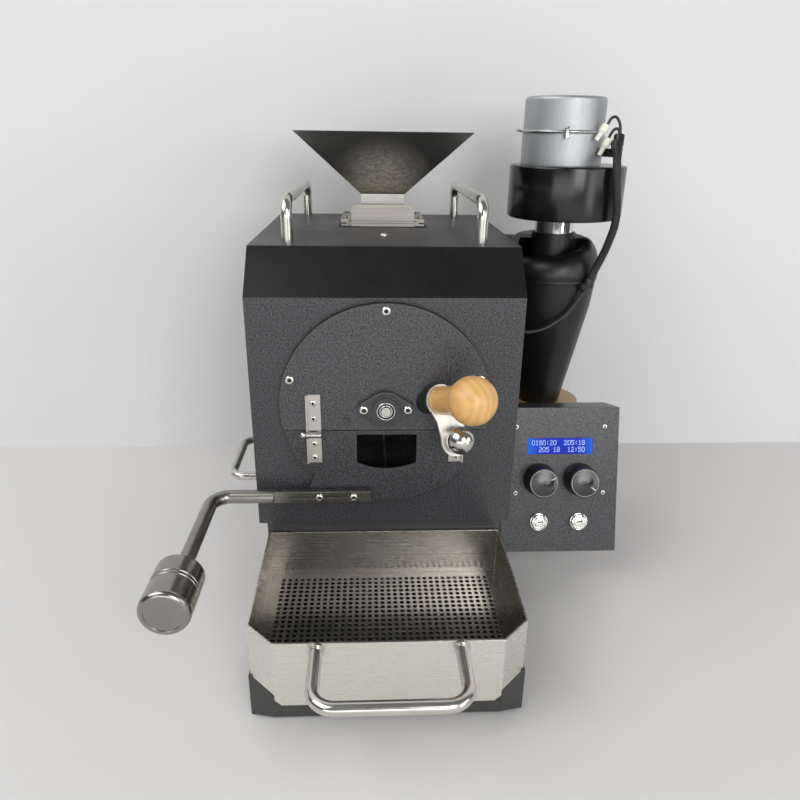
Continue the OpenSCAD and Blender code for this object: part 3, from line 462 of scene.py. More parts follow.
sweep(bm, [mm(seam_x, y, seam_height + 0.25 * math.sin(y)) for y in range(4, 162, 2)], bead_radius, 8)
piece("drum_weld_seam", bm, "drum", weld_steel)

# ---- Round front plate and bearing ----
# The plate closes the drum's mouth, with a black band of painted shadow round the top of its rim. A rhombic
# flange bearing with a steel insert carries the shaft on it. The thermometer's port is a small ring beside
# it, and button head screws hold it all, as they do the rest of the case.
# The round plate's coat is painted lighter than the door's: painted light from the upper left.
plate_coat_painted_lighter = painted("round plate coat painted lighter", (0.005, 0.0055, 0.006), (0.11, 0.114, 0.122), (0.15, 0.15, 0.155),
                     0.3, 680, 0.00012, 0.0008)
cast_black = painted("blackened casting", (0.045, 0.046, 0.048), (0.085, 0.087, 0.09), (0.22, 0.22, 0.22),
                     0.34, 600, 0.00006, 0.0009, Metallic=0.6)
screw_steel = bare_steel("screw steel", (0.85, 0.83, 0.79), 0.26, (700, 700, 700), 0.00002)
dress(plate_coat_painted_lighter, "face_plate")
dress(cast_black, "bearing_flange", "temperature_probe")


def lathe(bm, profile, sides, place=Matrix(), closed=False):
    rings = []
    for r, h in profile:
        angles = [2 * math.pi * k / sides for k in range(sides if r else 1)]
        rings.append([bm.verts.new(place @ mm(r * math.cos(a), r * math.sin(a), h)) for a in angles])
    for low, high in zip(rings, rings[1:] + (rings[:1] if closed else [])):
        for k in range(sides if len(low) + len(high) > 2 else 0):
            n = k + 1
            corners = (low[k % len(low)], low[n % len(low)], high[n % len(high)], high[k % len(high)])
            bm.faces.new(list(dict.fromkeys(corners)))


def arc(x, y, radius, start, stop, step, height=None):
    count = max(round(abs(stop - start) / step), 1)
    angles = [math.radians(start + (stop - start) * k / count) for k in range(count + 1)]
    return [(x + radius * math.cos(a), y + (height or radius) * math.sin(a)) for a in angles]


def screw(heads, sockets, place, radius, height):
    hollow = radius * 0.5
    crown = arc(radius * 0.6, height * 0.45, radius * 0.4, 90, 0, 15, height * 0.55)
    lathe(heads, [(hollow, 0), (hollow, height - 0.1), (hollow + 0.1, height)] + crown + [(radius, 0)], 32,
          place, closed=True)
    # A black disc down in each socket is painted shade.
    lathe(sockets, [(0, height * 0.35), (hollow + 0.05, height * 0.35)], 6, place)


def at(x, y, z):
    return Matrix.Translation(mm(x, y, z))


def turn(degrees, axis):
    return Matrix.Rotation(math.radians(degrees), 4, axis)


outward = turn(90, "X")
panel_frame = at(173.6, 54.6, 147.7) @ turn(-15.8, "X")
shaft_height, plate_front, bolt_circle = 215, -6, 84
hinge_reach, leaf_front = 61.5, -7.5
seal_black_and_painted_shade = painted("black seal and painted shade", (0.006, 0.006, 0.006), (0.012, 0.012, 0.012), (0.03, 0.03, 0.03), 0.5,
                       900, 0.00002)
heads, sockets = bmesh.new(), bmesh.new()
for angle in (17.5, 90, 162.5):
    x = bolt_circle * math.cos(math.radians(angle))
    z = shaft_height + bolt_circle * math.sin(math.radians(angle))
    screw(heads, sockets, at(x, plate_front, z) @ outward, 3.75, 2.2)
for x in (-18.5, 18.5):
    screw(heads, sockets, at(x, -11, shaft_height) @ outward, 4, 3)
for x in (-hinge_reach, hinge_reach):
    for z in (205.5, 219.5):
        screw(heads, sockets, at(x, leaf_front, z) @ outward, 2.6, 1.4)
for x in (-43.8, 43.8):
    for z in (19.4, -46.7):
        screw(heads, sockets, panel_frame @ at(x, 0, z) @ outward, 2.2, 1.2)
screw(heads, sockets, at(0, 95, 344), 3.5, 1.8)
case_heads = piece("case_screw_heads", heads, "machine", screw_steel)
piece("case_screw_socket_shade", sockets, "machine", seal_black_and_painted_shade)
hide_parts("case_screws")
bm = bmesh.new()
bearing = at(0, plate_front, shaft_height) @ outward
lathe(bm, [(7, 0), (8, 0), (8, 9.6), (7.7, 10), (7, 10)], 64, bearing, closed=True)
lathe(bm, [(4.6, 0), (5.6, 0), (5.6, 9.7), (5.4, 10), (4.6, 10)], 64, bearing, closed=True)
insert = piece("bearing_rings", bm, "machine", turned_steel)
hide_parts("bearing_insert")
bm = bmesh.new()
lathe(bm, [(5.5, 0), (7.1, 0), (7.1, 9), (5.5, 9)], 64, bearing, closed=True)
lathe(bm, [(4.06, 0), (4.7, 0), (4.7, 8.8), (4.06, 8.8)], 64, bearing, closed=True)
piece("bearing_seal", bm, "machine", seal_black_and_painted_shade)
# A black band round the upper part of the plate's rim is painted shadow.
bm = bmesh.new()
outer_front, outer_back, inner_front, inner_back = (
    [bm.verts.new(mm(x, y, z)) for x, z in arc(0, shaft_height, radius, -13.2, 193.2, 2.5)]
    for radius in (90.2, 90.02) for y in (-5.9, -0.1))
for low, high in ((outer_front, outer_back), (inner_back, inner_front), (inner_front, outer_front),
                  (outer_back, inner_back)):
    for k in range(len(low) - 1):
        bm.faces.new((low[k], low[k + 1], high[k + 1], high[k]))
for k in (0, -1):
    bm.faces.new((outer_front[k], outer_back[k], inner_back[k], inner_front[k]))
edge_shadow_black = painted("painted edge shadow", (0.002, 0.002, 0.002), (0.004, 0.004, 0.004), (0.006, 0.006, 0.006),
                    0.8, 900, 0.00002)
piece("plate_edge_shadow", bm, "machine", edge_shadow_black)

# ---- Discharge door ----
# The lower part of the round plate swings up on two leaf hinges and lets the beans out into the tray.
# It has a glass window, and a steel rod screwed to its lug carries a turned counterweight that keeps it shut.
hinge_steel = bare_steel("hinge steel", (0.62, 0.6, 0.55), 0.34, (200, 600, 6), 0.00002)
rod_steel = bare_steel("lever steel", (0.34, 0.33, 0.3), 0.3, (6, 500, 500), 0.00004)
weight_steel = bare_steel("weight steel", (0.34, 0.325, 0.3), 0.2, (60, 900, 60), 0.00003)
dress(coat, "discharge_door")
dress(hinge_steel, "hinge_upper_leaves", "hinge_lower_leaves", "hinge_pins")
heads, sockets = bmesh.new(), bmesh.new()
for x in (-hinge_reach, hinge_reach):
    for z in (169, 182):
        screw(heads, sockets, at(x, leaf_front, z) @ outward, 2.6, 1.4)
for x in (-58, -28):
    screw(heads, sockets, at(x, -15, 133) @ outward, 3.2, 1.6)
door_heads = piece("door_screw_heads", heads, "door", screw_steel)
piece("door_screw_socket_shade", sockets, "door", seal_black_and_painted_shade)
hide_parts("door_screws")
dress(rod_steel, "door_lever")
dress(weight_steel, "counterweight")
window_pane, tree, shader = new_finish("window glass", (0.9, 0.93, 0.93), 0.04, Transmission_Weight=1.0,
                                       IOR=1.14)
smear = noise(tree, 60.0, 3.0)
roughen(tree, shader, smear, 0.02, 0.12)
two_tone(tree, shader, smear, (0.82, 0.86, 0.86), (0.92, 0.95, 0.95))
dress(window_pane, "window_glass")


# ---- Sampler ----
# A trier to take beans out while they roast: a steel spoon with a turned beech handle in a slanted sleeve.
# A two-lobed steel plate on it carries a polished ball, which turns the spoon over.
sampler_frame = at(36.3, 0, 219.2) @ turn(27, "Z") @ turn(-19, "X")
wood_grain, given, result = effect("wood grain", [("Rings", "Float", 9.0)],
                                   [("Ring", "Float"), ("Pore", "Float")])
spot = add(wood_grain, "TexCoord").outputs["Object"]
along = add(wood_grain, "Mapping", Vector=spot, Scale=(260, 260, 14)).outputs["Vector"]
ring = add(wood_grain, "TexWave", {"bands_direction": "X", "wave_profile": "SIN"}, Scale=given["Rings"],
           Distortion=6.0, Detail=3.0, Detail_Scale=1.2,
           Vector=add(wood_grain, "Mapping", Vector=spot, Scale=(30, 30, 3)).outputs["Vector"])
pore = noise(wood_grain, 9.0, 4.0, Vector=along, Roughness=0.7)
plug(wood_grain, ring.outputs["Fac"], result["Ring"])
plug(wood_grain, spread(wood_grain, pore, 0, 1, 0.3, 0.7), result["Pore"])
beech, tree, shader = new_finish("oiled beech", (0.6, 0.33, 0.12), 0.34, Coat_Weight=0.25)
grain = add(tree, "Group", {"node_tree": wood_grain}, Rings=1.6).outputs
board = blend_colours(tree, grain["Ring"], (0.66, 0.37, 0.125), (0.78, 0.48, 0.185))
two_tone(tree, shader, spread(tree, grain["Pore"], 0.3, 1), (0.6, 0.32, 0.1), board)
roughen(tree, shader, grain["Pore"], 0.45, 0.3)
dent(tree, shader, grain["Pore"], 0.25, 0.0002)
bm = bmesh.new()
ball_middle, ball_radius, neck_radius, neck_start, blend_angle = 46, 19.5, 12, 6, 40
ball_low = ball_middle - ball_radius * math.sin(math.radians(blend_angle))
swell = ball_radius * math.cos(math.radians(blend_angle)) - neck_radius
neck = [(neck_radius + swell * t ** 3, neck_start + (ball_low - neck_start) * t)
        for t in (k / 8 for k in range(8))]
lathe(bm, [(0, 0), (neck_radius - 1.2, 0)] + arc(neck_radius - 1.2, 1.2, 1.2, -90, 0, 30) + neck
      + arc(0, ball_middle, ball_radius, -blend_angle, 84, 4) + [(0, ball_middle + ball_radius)], 96)
handle = piece("sampler_handle", bm, "sampler", beech,
               sampler_frame @ at(0, -22.1, 0) @ outward)
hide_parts("trier_handle")
cream_steel = bare_steel("sampler plate steel", (0.86, 0.83, 0.77), 0.45, (400, 400, 12), 0.00004)
mirror_steel = bare_steel("polished ball", (0.62, 0.61, 0.58), 0.17, (200, 200, 200), 0.000005)
sleeve_black = painted("sampler sleeve black", (0.014, 0.014, 0.015), (0.024, 0.024, 0.025),
                       (0.06, 0.06, 0.06), 0.35, 900, 0.00003)
dress(cream_steel, "trier_plate")
dress(mirror_steel, "trier_ball")
dress(turned_steel, "trier_spoon")
dress(sleeve_black, "trier_sleeve")

# ---- Feed gate and hopper ----
# A square funnel of thin stainless sheet, bent and welded at its corners, with a warm patch of painted
# reflection low on its front.
# Under it a sliding gate runs in folded rails bolted on the top cover, over a thin black sheet that is
# painted shadow.
# It is pulled out by its upturned front edge, with thin black lines of painted shade along its folds.
gate_steel = bare_steel("gate steel", (0.4, 0.38, 0.345), 0.44, (6, 700, 300), 0.00003)
hopper_steel = bare_steel("hopper steel", (0.42, 0.41, 0.395), 0.4, (9, 9, 30), 0.00001, cast=0.3)
tree, shader = inside(hopper_steel)
# A warm patch low on the funnel's front is painted reflection, and the metal is made less metallic there.
spot = add(tree, "TexCoord").outputs["Object"]
off_middle = vector_work(tree, "DISTANCE", spot, mm(0, 152, 402))["Value"]
above_neck = spread(tree, axis_of(tree, spot, "Z"), 0, 1, 0.374, 0.378)
cloudy = spread(tree, noise(tree, 38.0, 3.0), 0.55, 1.0, 0.35, 0.6)
painted_reflection = work_out(tree, "MULTIPLY", spread(tree, off_middle, 1, 0, 0.016, 0.05), above_neck)
painted_reflection = work_out(tree, "MULTIPLY", painted_reflection, cloudy)
tint(tree, shader, painted_reflection, (0.95, 0.88, 0.7))
plug(tree, spread(tree, painted_reflection, 1.0, 0.72), shader.inputs["Metallic"])
dress(gate_steel, "feed_gate", "gate_rails")
dress(hopper_steel, "hopper")
# A thin black sheet under the gate and its rails is painted shadow.
bm = bmesh.new()
slab(bm, (-44, 153.5, 344), (44, 224, 344.4))
slab(bm, (-41.9, 159.6, 346.4), (-36.5, 160.1, 347.6))
slab(bm, (36.5, 159.6, 346.4), (41.9, 160.1, 347.6))
piece("gate_painted_shadow", bm, "machine", foot_rubber)
# Thin black lines along the gate's two folds are painted shade.
bm = bmesh.new()
for z in (347.6, 349.9):
    sweep(bm, [mm(x, 154.46, z) for x in (-31.2, -10, 10, 31.2)], 0.14, 8)
piece("gate_fold_shade_lines", bm, "gate", seal_black_and_painted_shade)

# ---- Cyclone, duct and chaff jar ----
# Spun steel cyclone painted satin black, its roof winding down by one turn from the inlet. It drops chaff
# into a glass jar under its bamboo lid. The duct from the cabinet runs into its side, and a polished pipe
# leads the air up to the blower.
cyclone_paint = painted("cyclone paint", (0.0025, 0.0025, 0.003), (0.005, 0.005, 0.0055),
                        (0.012, 0.012, 0.012), 0.36, 500, 0.000006)
cyclone_x, cyclone_y = 188, 208
cyclone_axis = at(cyclone_x, cyclone_y, 0)


def curve_at(place, knots):
    for (a, low), (b, high) in zip(knots, knots[1:]):
        if place <= b:
            t = (place - a) / (b - a)
            return low + (high - low) * t * t * (3 - 2 * t)


bm = bmesh.new()
roof_sides = 120
foot_knots = ((0, 330), (0.3, 330), (0.5, 327), (0.65, 313), (0.78, 305), (1, 301))
crest_knots = ((0, 331), (0.3, 331), (0.5, 328), (0.65, 319), (0.78, 312.5), (1, 309))
roof = []
for k in range(roof_sides + 1):
    turned_by = k / roof_sides
    inner_z = curve_at(turned_by, foot_knots)
    crest_z = curve_at(turned_by, crest_knots)
    valley = [(24.5 + 11.5 * t, inner_z + (crest_z - inner_z) * (0.5 - 0.5 * math.cos(math.pi * t)))
              for t in (0.86, 0.7, 0.54, 0.38, 0.22, 0.08)]
    profile = ([(24, 139), (47, 255), (50.4, 285.6), (51.4, 286.2), (51.4, 287.2), (51.2, 287.8), (52, 292)]
               + arc(36, 293, 16, 4, 90, 8, crest_z - 293) + valley
               + [(23.5, inner_z + 1.2), (23.5, 333.4), (23, 334), (20.6, 334), (20.6, inner_z - 3),
                  (36, crest_z - 4), (48, 290), (48, 287), (44.5, 255), (21.5, 139)])
    a = math.pi - 2 * math.pi * turned_by
    roof.append([bm.verts.new(cyclone_axis @ mm(r * math.cos(a), r * math.sin(a), z)) for r, z in profile])
for here, after in zip(roof, roof[1:]):
    for k in range(len(here)):
        n = (k + 1) % len(here)
        bm.faces.new((here[k], here[n], after[n], after[k]))
bm.faces.new(roof[0])
bm.faces.new(reversed(roof[-1]))
cyclone = piece("cyclone_shell", bm, "machine", cyclone_paint, crease=28)
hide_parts("cyclone")
dress(cyclone_paint, "exhaust_duct")
pipe_steel = bare_steel("polished pipe", (0.74, 0.735, 0.72), 0.06, (300, 300, 2), 0.000008)
dress(pipe_steel, "outlet_pipe")
bamboo, tree, shader = new_finish("bamboo", (0.62, 0.42, 0.2), 0.4)
grain = add(tree, "Group", {"node_tree": wood_grain}, Rings=3.0).outputs
two_tone(tree, shader, grain["Pore"], (0.42, 0.28, 0.13), (0.66, 0.48, 0.26))
roughen(tree, shader, grain["Ring"], 0.35, 0.5)
dress(bamboo, "jar_lid")
jar_glass, tree, shader = new_finish("jar glass", (0.9, 0.94, 0.94), 0.04, Transmission_Weight=1.0, IOR=1.5)
ripple = noise(tree, 30.0)
roughen(tree, shader, ripple, 0.02, 0.08)
dent(tree, shader, ripple, 0.2, 0.0005)
dress(jar_glass, "chaff_jar")


# ---- Blower ----
# Die-cast volute painted black, open at the back, with a pressed impeller on the motor's shaft inside it.
# A thin flange plate on the outlet pipe seats it on the cyclone.
def blower_ring(bm, z, inset, mouth):
    spiral = [((start_radius + a / 10 - inset) * math.cos(math.radians(180 + a)),
               (start_radius + a / 10 - inset) * math.sin(math.radians(180 + a))) for a in range(0, 181, 3)]
    outline = spiral + mouth + arc(0, 0, start_radius - inset, 72, 177, 3)
    return [bm.verts.new(mm(x, y, z)) for x, y in outline], len(spiral) + len(mouth) // 2 - 1


def wall_between(bm, low, high, gap=None):
    for k in range(len(low)):
        n = (k + 1) % len(low)
        if k != gap:
            bm.faces.new((low[k], low[n], high[n], high[k]))


start_radius, wall = 52, 2
bm = bmesh.new()
rounding = [(0, 2.4), (0.3, 1.2), (1.2, 0.3), (2.4, 0), (50.6, 0), (51.8, 0.3), (52.7, 1.2), (53, 2.4)]
outer = [blower_ring(bm, z, inset, [(70 - inset, 54 - inset), (68, 54 - inset), (20, 54 - inset),
                                    (18 + inset, 54 - inset)]) for z, inset in rounding]
inner = [blower_ring(bm, z, wall, [(70 - wall, 54 - wall), (18 + wall, 54 - wall)]) for z in (2.4, 50.6)]
for (low, outer_mouth), (high, _) in zip(outer, outer[1:]):
    wall_between(bm, low, high, outer_mouth if low is outer[3][0] else None)
(floor_ring, inner_mouth), (roof_ring, _) = inner
wall_between(bm, floor_ring, roof_ring, inner_mouth)
for ring in (outer[0][0], outer[-1][0], floor_ring, roof_ring):
    bm.faces.new(ring)
lip_outer = [outer[level][0][outer_mouth + k] for level, k in ((3, 0), (3, 1), (4, 1), (4, 0))]
lip_inner = [ring[inner_mouth + k]
             for ring, k in ((floor_ring, 0), (floor_ring, 1), (roof_ring, 1), (roof_ring, 0))]
wall_between(bm, lip_outer, lip_inner)
blower_paint = painted("blower paint", (0.0025, 0.0025, 0.003), (0.005, 0.005, 0.0055), (0.03, 0.03, 0.03),
                       0.2, 700, 0.000008)
blower = piece("blower_shell", bm, "machine", blower_paint, at(cyclone_x, cyclone_y, 350))
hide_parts("blower_housing")
dress(plain_sheet, "impeller")

# ---- Blower motor ----
# Drawn cups of galvanised steel with a crimped edge, mottled zinc all round.
# A wire clamp ring with a screw in front holds them together.
zinc, tree, shader = new_finish("galvanised can", (0.6, 0.62, 0.63), 0.38, 1.0)
spangle = add(tree, "TexVoronoi", {"feature": "F1"}, Scale=230.0)
fern = axis_of(tree, spangle.outputs["Color"], "X")
cloudy = noise(tree, 70.0, 5.0, Roughness=0.7)
mottle = work_out(tree, "ADD", work_out(tree, "MULTIPLY", fern, 0.5), spread(tree, cloudy, 0, 0.5, 0.3, 0.7))
two_tone(tree, shader, mottle, (0.34, 0.36, 0.37), (0.56, 0.58, 0.59))
roughen(tree, shader, mottle, 0.6, 0.44)
soft = add(tree, "Group", {"node_tree": soft_edges}, Radius=0.0006).outputs
dent(tree, shader, cloudy, 0.3, 0.00008, Normal=soft["Normal"])
motor_base = at(cyclone_x, cyclone_y, 403)
bm = bmesh.new()
lathe(bm, [(0, 0), (41.5, 0), (41.5, 30.4), (42.3, 31), (42.3, 33), (41, 33.6), (41, 61.5)]
      + arc(37.5, 61.5, 3.5, 0, 84, 12) + [(36.8, 65), (0, 65)], 120, motor_base)
can = piece("motor_can", bm, "machine", zinc, crease=30)
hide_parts("blower_motor")
wire_steel = bare_steel("clamp wire", (0.5, 0.5, 0.5), 0.25, (300, 300, 300), 0.00002)
bm = bmesh.new()
ring_radius = 43.2
ring_line = [mm(cyclone_x + ring_radius * math.cos(a), cyclone_y + ring_radius * math.sin(a), 435)
             for a in (2 * math.pi * k / 120 for k in range(120))]
sweep(bm, ring_line, 1.3, 12, closed=True)
wire_end = [(145.4, 213, 435), (143.8, 208, 435.2), (141.6, 205, 435.6), (138.4, 203.4, 436)]
sweep(bm, smooth_line(wire_end, 4), 1.2, 10)
clamp_x, clamp_y, twist_radius = 179.5, 162.8, 1.7
lathe(bm, [(0, -4), (2.6, -4), (2.6, 4), (0, 4)], 6, at(clamp_x, clamp_y, 433))
twist = [(clamp_x + twist_radius * math.cos(a), clamp_y + twist_radius * math.sin(a), 434 + a / 2.4)
         for a in (k * math.pi / 6 for k in range(25))]
sweep(bm, smooth_line(twist, 1), 0.9, 8)
piece("clamp_ring", bm, "machine", wire_steel)

# ---- Cable fittings ----
# Crimped blades in creamy white boots on the motor's two terminals, and the wires from the sleeve to them,
# with tape wound round the sleeve's open end. A bracket on the can and a moulded clip on the cyclone hold the
# cable, and a grommet guards the lead where it enters the cabinet.
boot_plastic, tree, shader = new_finish("boot plastic", (0.74, 0.71, 0.62), 0.38, Subsurface_Weight=0.1)
cloud = noise(tree, 180.0, 3.0)
two_tone(tree, shader, cloud, (0.78, 0.74, 0.6), (0.9, 0.87, 0.76))
roughen(tree, shader, cloud, 0.3, 0.46)
bm = bmesh.new()
boots = [(mm(211, 169.3, 427.5), mm(220.5, 170, 441.7)), (mm(217.4, 174, 413.5), mm(224.5, 171, 430))]
for start, end in boots:
    axis = end - start
    size = axis.length * 1000
    aimed = Matrix.Translation(start) @ axis.to_track_quat("Z", "Y").to_matrix().to_4x4()
    lathe(bm, [(0, 0), (2, 0), (2.4, 0.4), (2.4, size * 0.4), (2.8, size * 0.46), (3.8, size * 0.56),
               (4.2, size * 0.62), (4.2, size - 0.6), (3.6, size), (2.4, size), (2.2, size - 2),
               (0, size - 2)], 28, aimed)
boot_set = piece("terminal_boots", bm, "machine", boot_plastic)
wire_skin = painted("wire insulation", (0.01, 0.01, 0.011), (0.018, 0.018, 0.02), (0.03, 0.03, 0.03), 0.3,
                    600, 0.00001)
wire_lines = [smooth_line(points, 6) for points in (
    [(235, 172, 430), (235.5, 172.5, 437), (234, 173, 444), (230, 173, 449), (225, 171.5, 448),
     (221, 170, 442)],
    [(233.5, 170.5, 430), (234, 170, 434), (232.5, 169.5, 438), (229, 170, 438), (226, 170.5, 434),
     (224, 171, 429)])]
for name, line in zip(("terminal_wire_long", "terminal_wire_short"), wire_lines):
    bm = bmesh.new()
    sweep(bm, line, 1.4, 14)
    piece(name, bm, "machine", wire_skin)
bm = bmesh.new()
for radius, start, stop in ((5.2, 0, 7), (4.8, 4, 10), (4.5, 8, 13)):
    sweep(bm, cable_line[start:stop], radius, 24)
piece("cable_end_tape", bm, "machine", wire_skin)
clip_plastic = painted("clip plastic", (0.01, 0.01, 0.011), (0.016, 0.016, 0.017), (0.05, 0.05, 0.05), 0.42,
                       900, 0.00003)
bm = bmesh.new()
slab(bm, (-10, -2.5, -4), (10, 2.5, 4), at(228, 178, 416) @ turn(-70, "Z"))
lathe(bm, [(4, -5), (5.4, -5), (5.4, 5), (4, 5)], 28, at(232, 167.5, 422) @ turn(-38, "X"), closed=True)
piece("cable_bracket", bm, "machine", clip_plastic)
bm = bmesh.new()
slab(bm, (-9, -1.5, -3.2), (8.5, 3.5, 3.2), at(216.5, 162, 283.5) @ turn(33, "Z"))
clip_mouth = (219.5, 161.5, 291)
down_cable = mm(213, 160, 277) - mm(*clip_mouth)
lathe(bm, [(0, 0), (4.4, 0), (4.8, 0.6), (4.8, 6), (3.6, 8.5), (2.6, 15.6), (0, 15.6)], 28,
      at(*clip_mouth) @ down_cable.to_track_quat("Z", "Y").to_matrix().to_4x4())
piece("cable_clip", bm, "machine", clip_plastic)
bm = bmesh.new()
lathe(bm, [(1.8, -1), (4.2, -1), (4.5, -0.4), (4.5, 1), (3.4, 3), (2.6, 3.5), (1.8, 3.5)], 32,
      at(115.4, 123, 247) @ turn(90, "Y"), closed=True)
piece("lead_grommet", bm, "machine", foot_rubber)
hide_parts("cable_fittings")

# ---- Control box ----
# Coated box hung on the cabinet's right side, its panel leaning back, with a lit display behind a window.
# Four small screws hold the panel, with two knobs of black plastic under spun metal faces, and two polished
# push buttons in their bezels.
dress(coat, "control_box", "control_panel")
lit_blue, tree, shader = new_finish("lit display", (0.002, 0.01, 0.1), 0.3, Emission_Strength=1.0,
                                    Specular_IOR_Level=0.1)
across_display = axis_of(tree, add(tree, "TexCoord").outputs["Object"], "X")
from_middle = work_out(tree, "ABSOLUTE", work_out(tree, "SUBTRACT", across_display, 0.1736))
near_end = spread(tree, from_middle, 0, 1, 0.012, 0.031)
glow = noise(tree, 90.0)
lit = blend_colours(tree, work_out(tree, "POWER", near_end, 2.0), (0.003, 0.022, 0.42), (0.008, 0.13, 0.72))
two_tone(tree, shader, spread(tree, glow, 0, 0.2), lit, (0.002, 0.01, 0.25), "Emission Color")
dress(lit_blue, "display")
dot_light, tree, shader = new_finish("display dots", (0.5, 0.6, 0.75), 0.3, Emission_Strength=0.6)
two_tone(tree, shader, noise(tree, 700.0), (0.3, 0.5, 0.85), (0.5, 0.68, 0.95), "Emission Color")
digit_rows = {"0": (14, 17, 17, 17, 17, 17, 14), "1": (4, 12, 4, 4, 4, 4, 14), "2": (14, 17, 1, 6, 8, 16, 31),
              "5": (31, 16, 30, 1, 1, 17, 14), "8": (14, 17, 17, 14, 17, 17, 14), ":": (0, 4, 4, 0, 4, 4, 0)}
sign_pitch, dot_pitch, dot_rise = 3.55, 0.6, 0.72
bm = bmesh.new()
for line_at, text in ((3.4, "0180:20  205:18 "), (-3.4, "  205 18  12:50 ")):
    for place, sign in enumerate(text):
        for row, bits in enumerate(digit_rows.get(sign, ())):
            for column in range(5):
                if bits >> (4 - column) & 1:
                    x = (place - 7.5) * sign_pitch + (column - 2) * dot_pitch
                    z = line_at - (row - 3) * dot_rise
                    slab(bm, (x - 0.26, 0.3, z - 0.31), (x + 0.26, 0.42, z + 0.31), panel_frame)
piece("display_digits", bm, "machine", dot_light)

knob_black = painted("knob black", (0.012, 0.012, 0.013), (0.02, 0.02, 0.021), (0.06, 0.06, 0.06), 0.32,
                     900, 0.00002)
spun_face, tree, shader = new_finish("spun knob face", (0.2, 0.2, 0.2), 0.26, 1.0, Anisotropic=0.97)
round_way = add(tree, "Tangent", {"direction_type": "RADIAL", "axis": "Z"})
plug(tree, round_way.outputs["Tangent"], shader.inputs["Tangent"])
flat_spot = vector_work(tree, "MULTIPLY", add(tree, "TexCoord").outputs["Object"], (1, 1, 0))["Vector"]
off_middle = vector_work(tree, "LENGTH", flat_spot)["Value"]
groove = add(tree, "TexNoise", {"noise_dimensions": "1D"}, Scale=9000.0, W=off_middle).outputs["Fac"]
two_tone(tree, shader, groove, (0.04, 0.04, 0.041), (0.1, 0.1, 0.102))
roughen(tree, shader, groove, 0.16, 0.24)
mark_and_rim_highlight_white = painted("knob mark and painted rim highlight", (0.72, 0.72, 0.7), (0.8, 0.8, 0.78), (0.85, 0.85, 0.83), 0.4,
                     900, 0.00001)
control_reach, knob_drop, button_drop = 20, -33, -76
for side, side_x, pointing in (("left", -control_reach, 25), ("right", control_reach, -35)):
    at_knob = panel_frame @ at(side_x, 0, knob_drop) @ outward
    body = side + "_knob"
    bm = bmesh.new()
    lathe(bm, [(0, -14), (3, -14), (3, 0.6), (15.6, 0.6), (16, 1), (16, 3), (15.4, 3.6), (15, 3.8),
               (14.7, 17.6), (14.3, 18.4), (13.4, 18.8), (0, 18.8)], 96)
    knob = piece(side + "_knob_body", bm, body, knob_black, at_knob)
    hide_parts("knob_" + side)
    bm = bmesh.new()
    lathe(bm, [(0, 18.7), (12.7, 18.7), (12.9, 18.9), (12.9, 19.0), (12.7, 19.1), (0, 19.1)], 96)
    piece(side + "_knob_face", bm, body, spun_face, at_knob)
    bm = bmesh.new()
    # The thin white ring at each face's rim is a painted highlight; the short line is the printed pointer.
    lathe(bm, [(12.9, 18.8), (13.25, 18.8), (13.25, 19.05), (13.1, 19.15), (12.9, 19.05)], 96, closed=True)
    slab(bm, (7.4, -0.45, 19.05), (12.6, 0.45, 19.2), turn(pointing, "Z"))
    piece(side + "_knob_mark_and_rim_highlight", bm, body, mark_and_rim_highlight_white, at_knob)
button_chrome = bare_steel("button chrome", (0.92, 0.91, 0.87), 0.07, (90, 90, 90), 0.00002, cast=0.2)
bezels = bmesh.new()
for side, side_x in (("left", -control_reach), ("right", control_reach)):
    at_button = panel_frame @ at(side_x, 0, button_drop) @ outward
    lathe(bezels, [(7.35, 0), (9.3, 0), (9.3, 1.2), (8.9, 1.9), (8.1, 2.1), (7.5, 1.8), (7.35, 1.4)], 64,
          at_button, closed=True)
    bm = bmesh.new()
    lathe(bm, [(0, -8), (7.1, -8), (7.1, 3.2), (6.9, 3.5), (5.9, 3.7), (5.5, 3.2), (5.2, 3.2), (4.9, 3.5)]
          + [(r, 3.5 + 0.5 * (1 - (r / 4.9) ** 2)) for r in (3.9, 2.6, 1.3)] + [(0, 4)], 64)
    button = piece(side + "_button_cap", bm, side + "_button", button_chrome, at_button)
    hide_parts("button_" + side)
piece("button_bezels", bezels, "machine", button_chrome)

# ---- Worktop, wall and light ----
# A pale worktop and a pale wall close behind the machine, lit by a wide soft light from the upper left and
# four weaker ones from the room. The wall shows only from its front, so that the machine can be seen from
# behind.
def stage_piece(name, bm, finish):
    mesh = bpy.data.meshes.new(name)
    bm.to_mesh(mesh)
    bm.free()
    mesh.materials.append(finish)
    made = bpy.data.objects.new(name, mesh)
    bpy.context.scene.collection.objects.link(made)


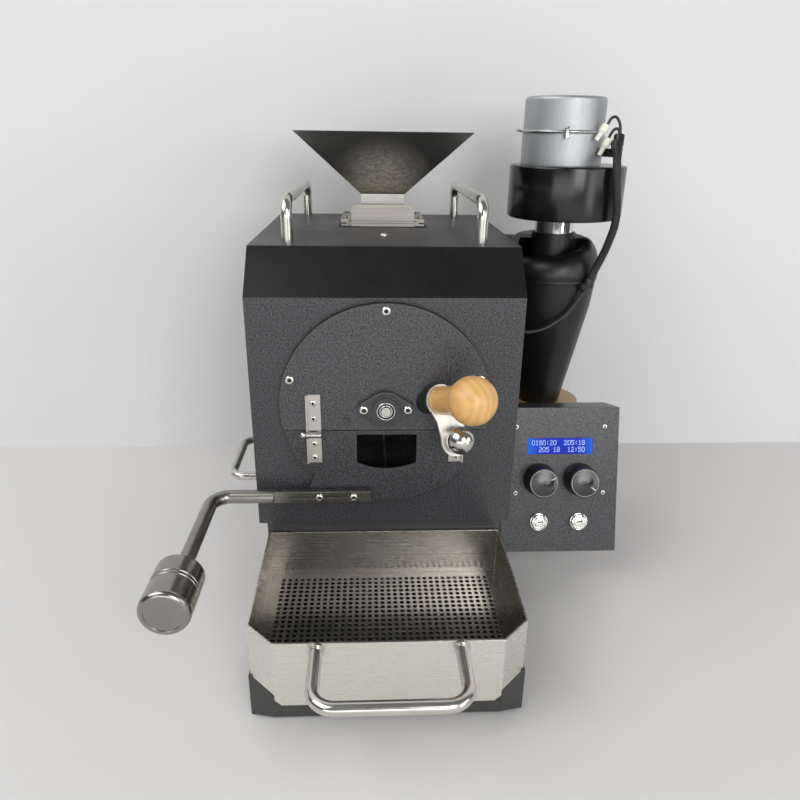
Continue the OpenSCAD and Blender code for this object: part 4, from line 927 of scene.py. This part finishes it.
worktop, tree, shader = new_finish("pale worktop", (0.7, 0.69, 0.68), 0.55)
two_tone(tree, shader, noise(tree, 3.0, 4.0), (0.66, 0.65, 0.64), (0.72, 0.715, 0.71))
room_reach, wall_y = 2500, 366
bm = bmesh.new()
slab(bm, (-room_reach, -room_reach, -20), (room_reach, room_reach, 0))
stage_piece("worktop", bm, worktop)
wall_paint, tree, shader = new_finish("pale wall", (0.7, 0.69, 0.69), 0.8)
two_tone(tree, shader, noise(tree, 2.0, 3.0), (0.68, 0.675, 0.675), (0.72, 0.715, 0.715))
either = add(tree, "MixShader")
plug(tree, add(tree, "NewGeometry").outputs["Backfacing"], either.inputs[0])
plug(tree, shader.outputs["BSDF"], either.inputs[1])
plug(tree, add(tree, "BsdfTransparent").outputs["BSDF"], either.inputs[2])
plug(tree, either.outputs["Shader"], tree.nodes["Material Output"].inputs["Surface"])
bm = bmesh.new()
bm.faces.new([bm.verts.new(mm(x, wall_y, z)) for x, z in (
    (-room_reach, 0), (room_reach, 0), (room_reach, room_reach), (-room_reach, room_reach))])
stage_piece("back_wall", bm, wall_paint)


def lamp(name, place, target, size, power):
    light = bpy.data.lights.new(name, "AREA")
    light.shape = "RECTANGLE"
    light.size, light.size_y = size
    light.energy = power
    made = bpy.data.objects.new(name, light)
    bpy.context.scene.collection.objects.link(made)
    made.location = place
    made.rotation_euler = (Vector(target) - Vector(place)).to_track_quat("-Z", "Y").to_euler()


lamp("window_light", (-1.7, -0.9, 2.2), (0, 0.1, 0.2), (2.2, 1.8), 46)
lamp("room_light", (0.8, -2.2, 1.1), (0.1, 0, 0.25), (0.9, 1.5), 26)
lamp("front_light", (-0.5, -2.3, 0.42), (0, 0, 0.25), (2.0, 0.6), 10)
lamp("side_light", (2.3, -1.1, 0.9), (0.1, 0, 0.25), (1.2, 1.2), 8)
lamp("strip_light", (1.32, -1.2, 0.36), (0.19, 0.2, 0.36), (0.42, 0.8), 3.5)
world = bpy.data.worlds.new("room")
world.use_nodes = True
bpy.context.scene.world = world
tree = world.node_tree
height = axis_of(tree, add(tree, "TexCoord").outputs["Generated"], "Z")
overhead = spread(tree, height, 0, 1, -0.1, 0.9)
plug(tree, blend_colours(tree, overhead, (0.09, 0.09, 0.095), (0.2, 0.2, 0.2)),
     tree.nodes["Background"].inputs["Color"])
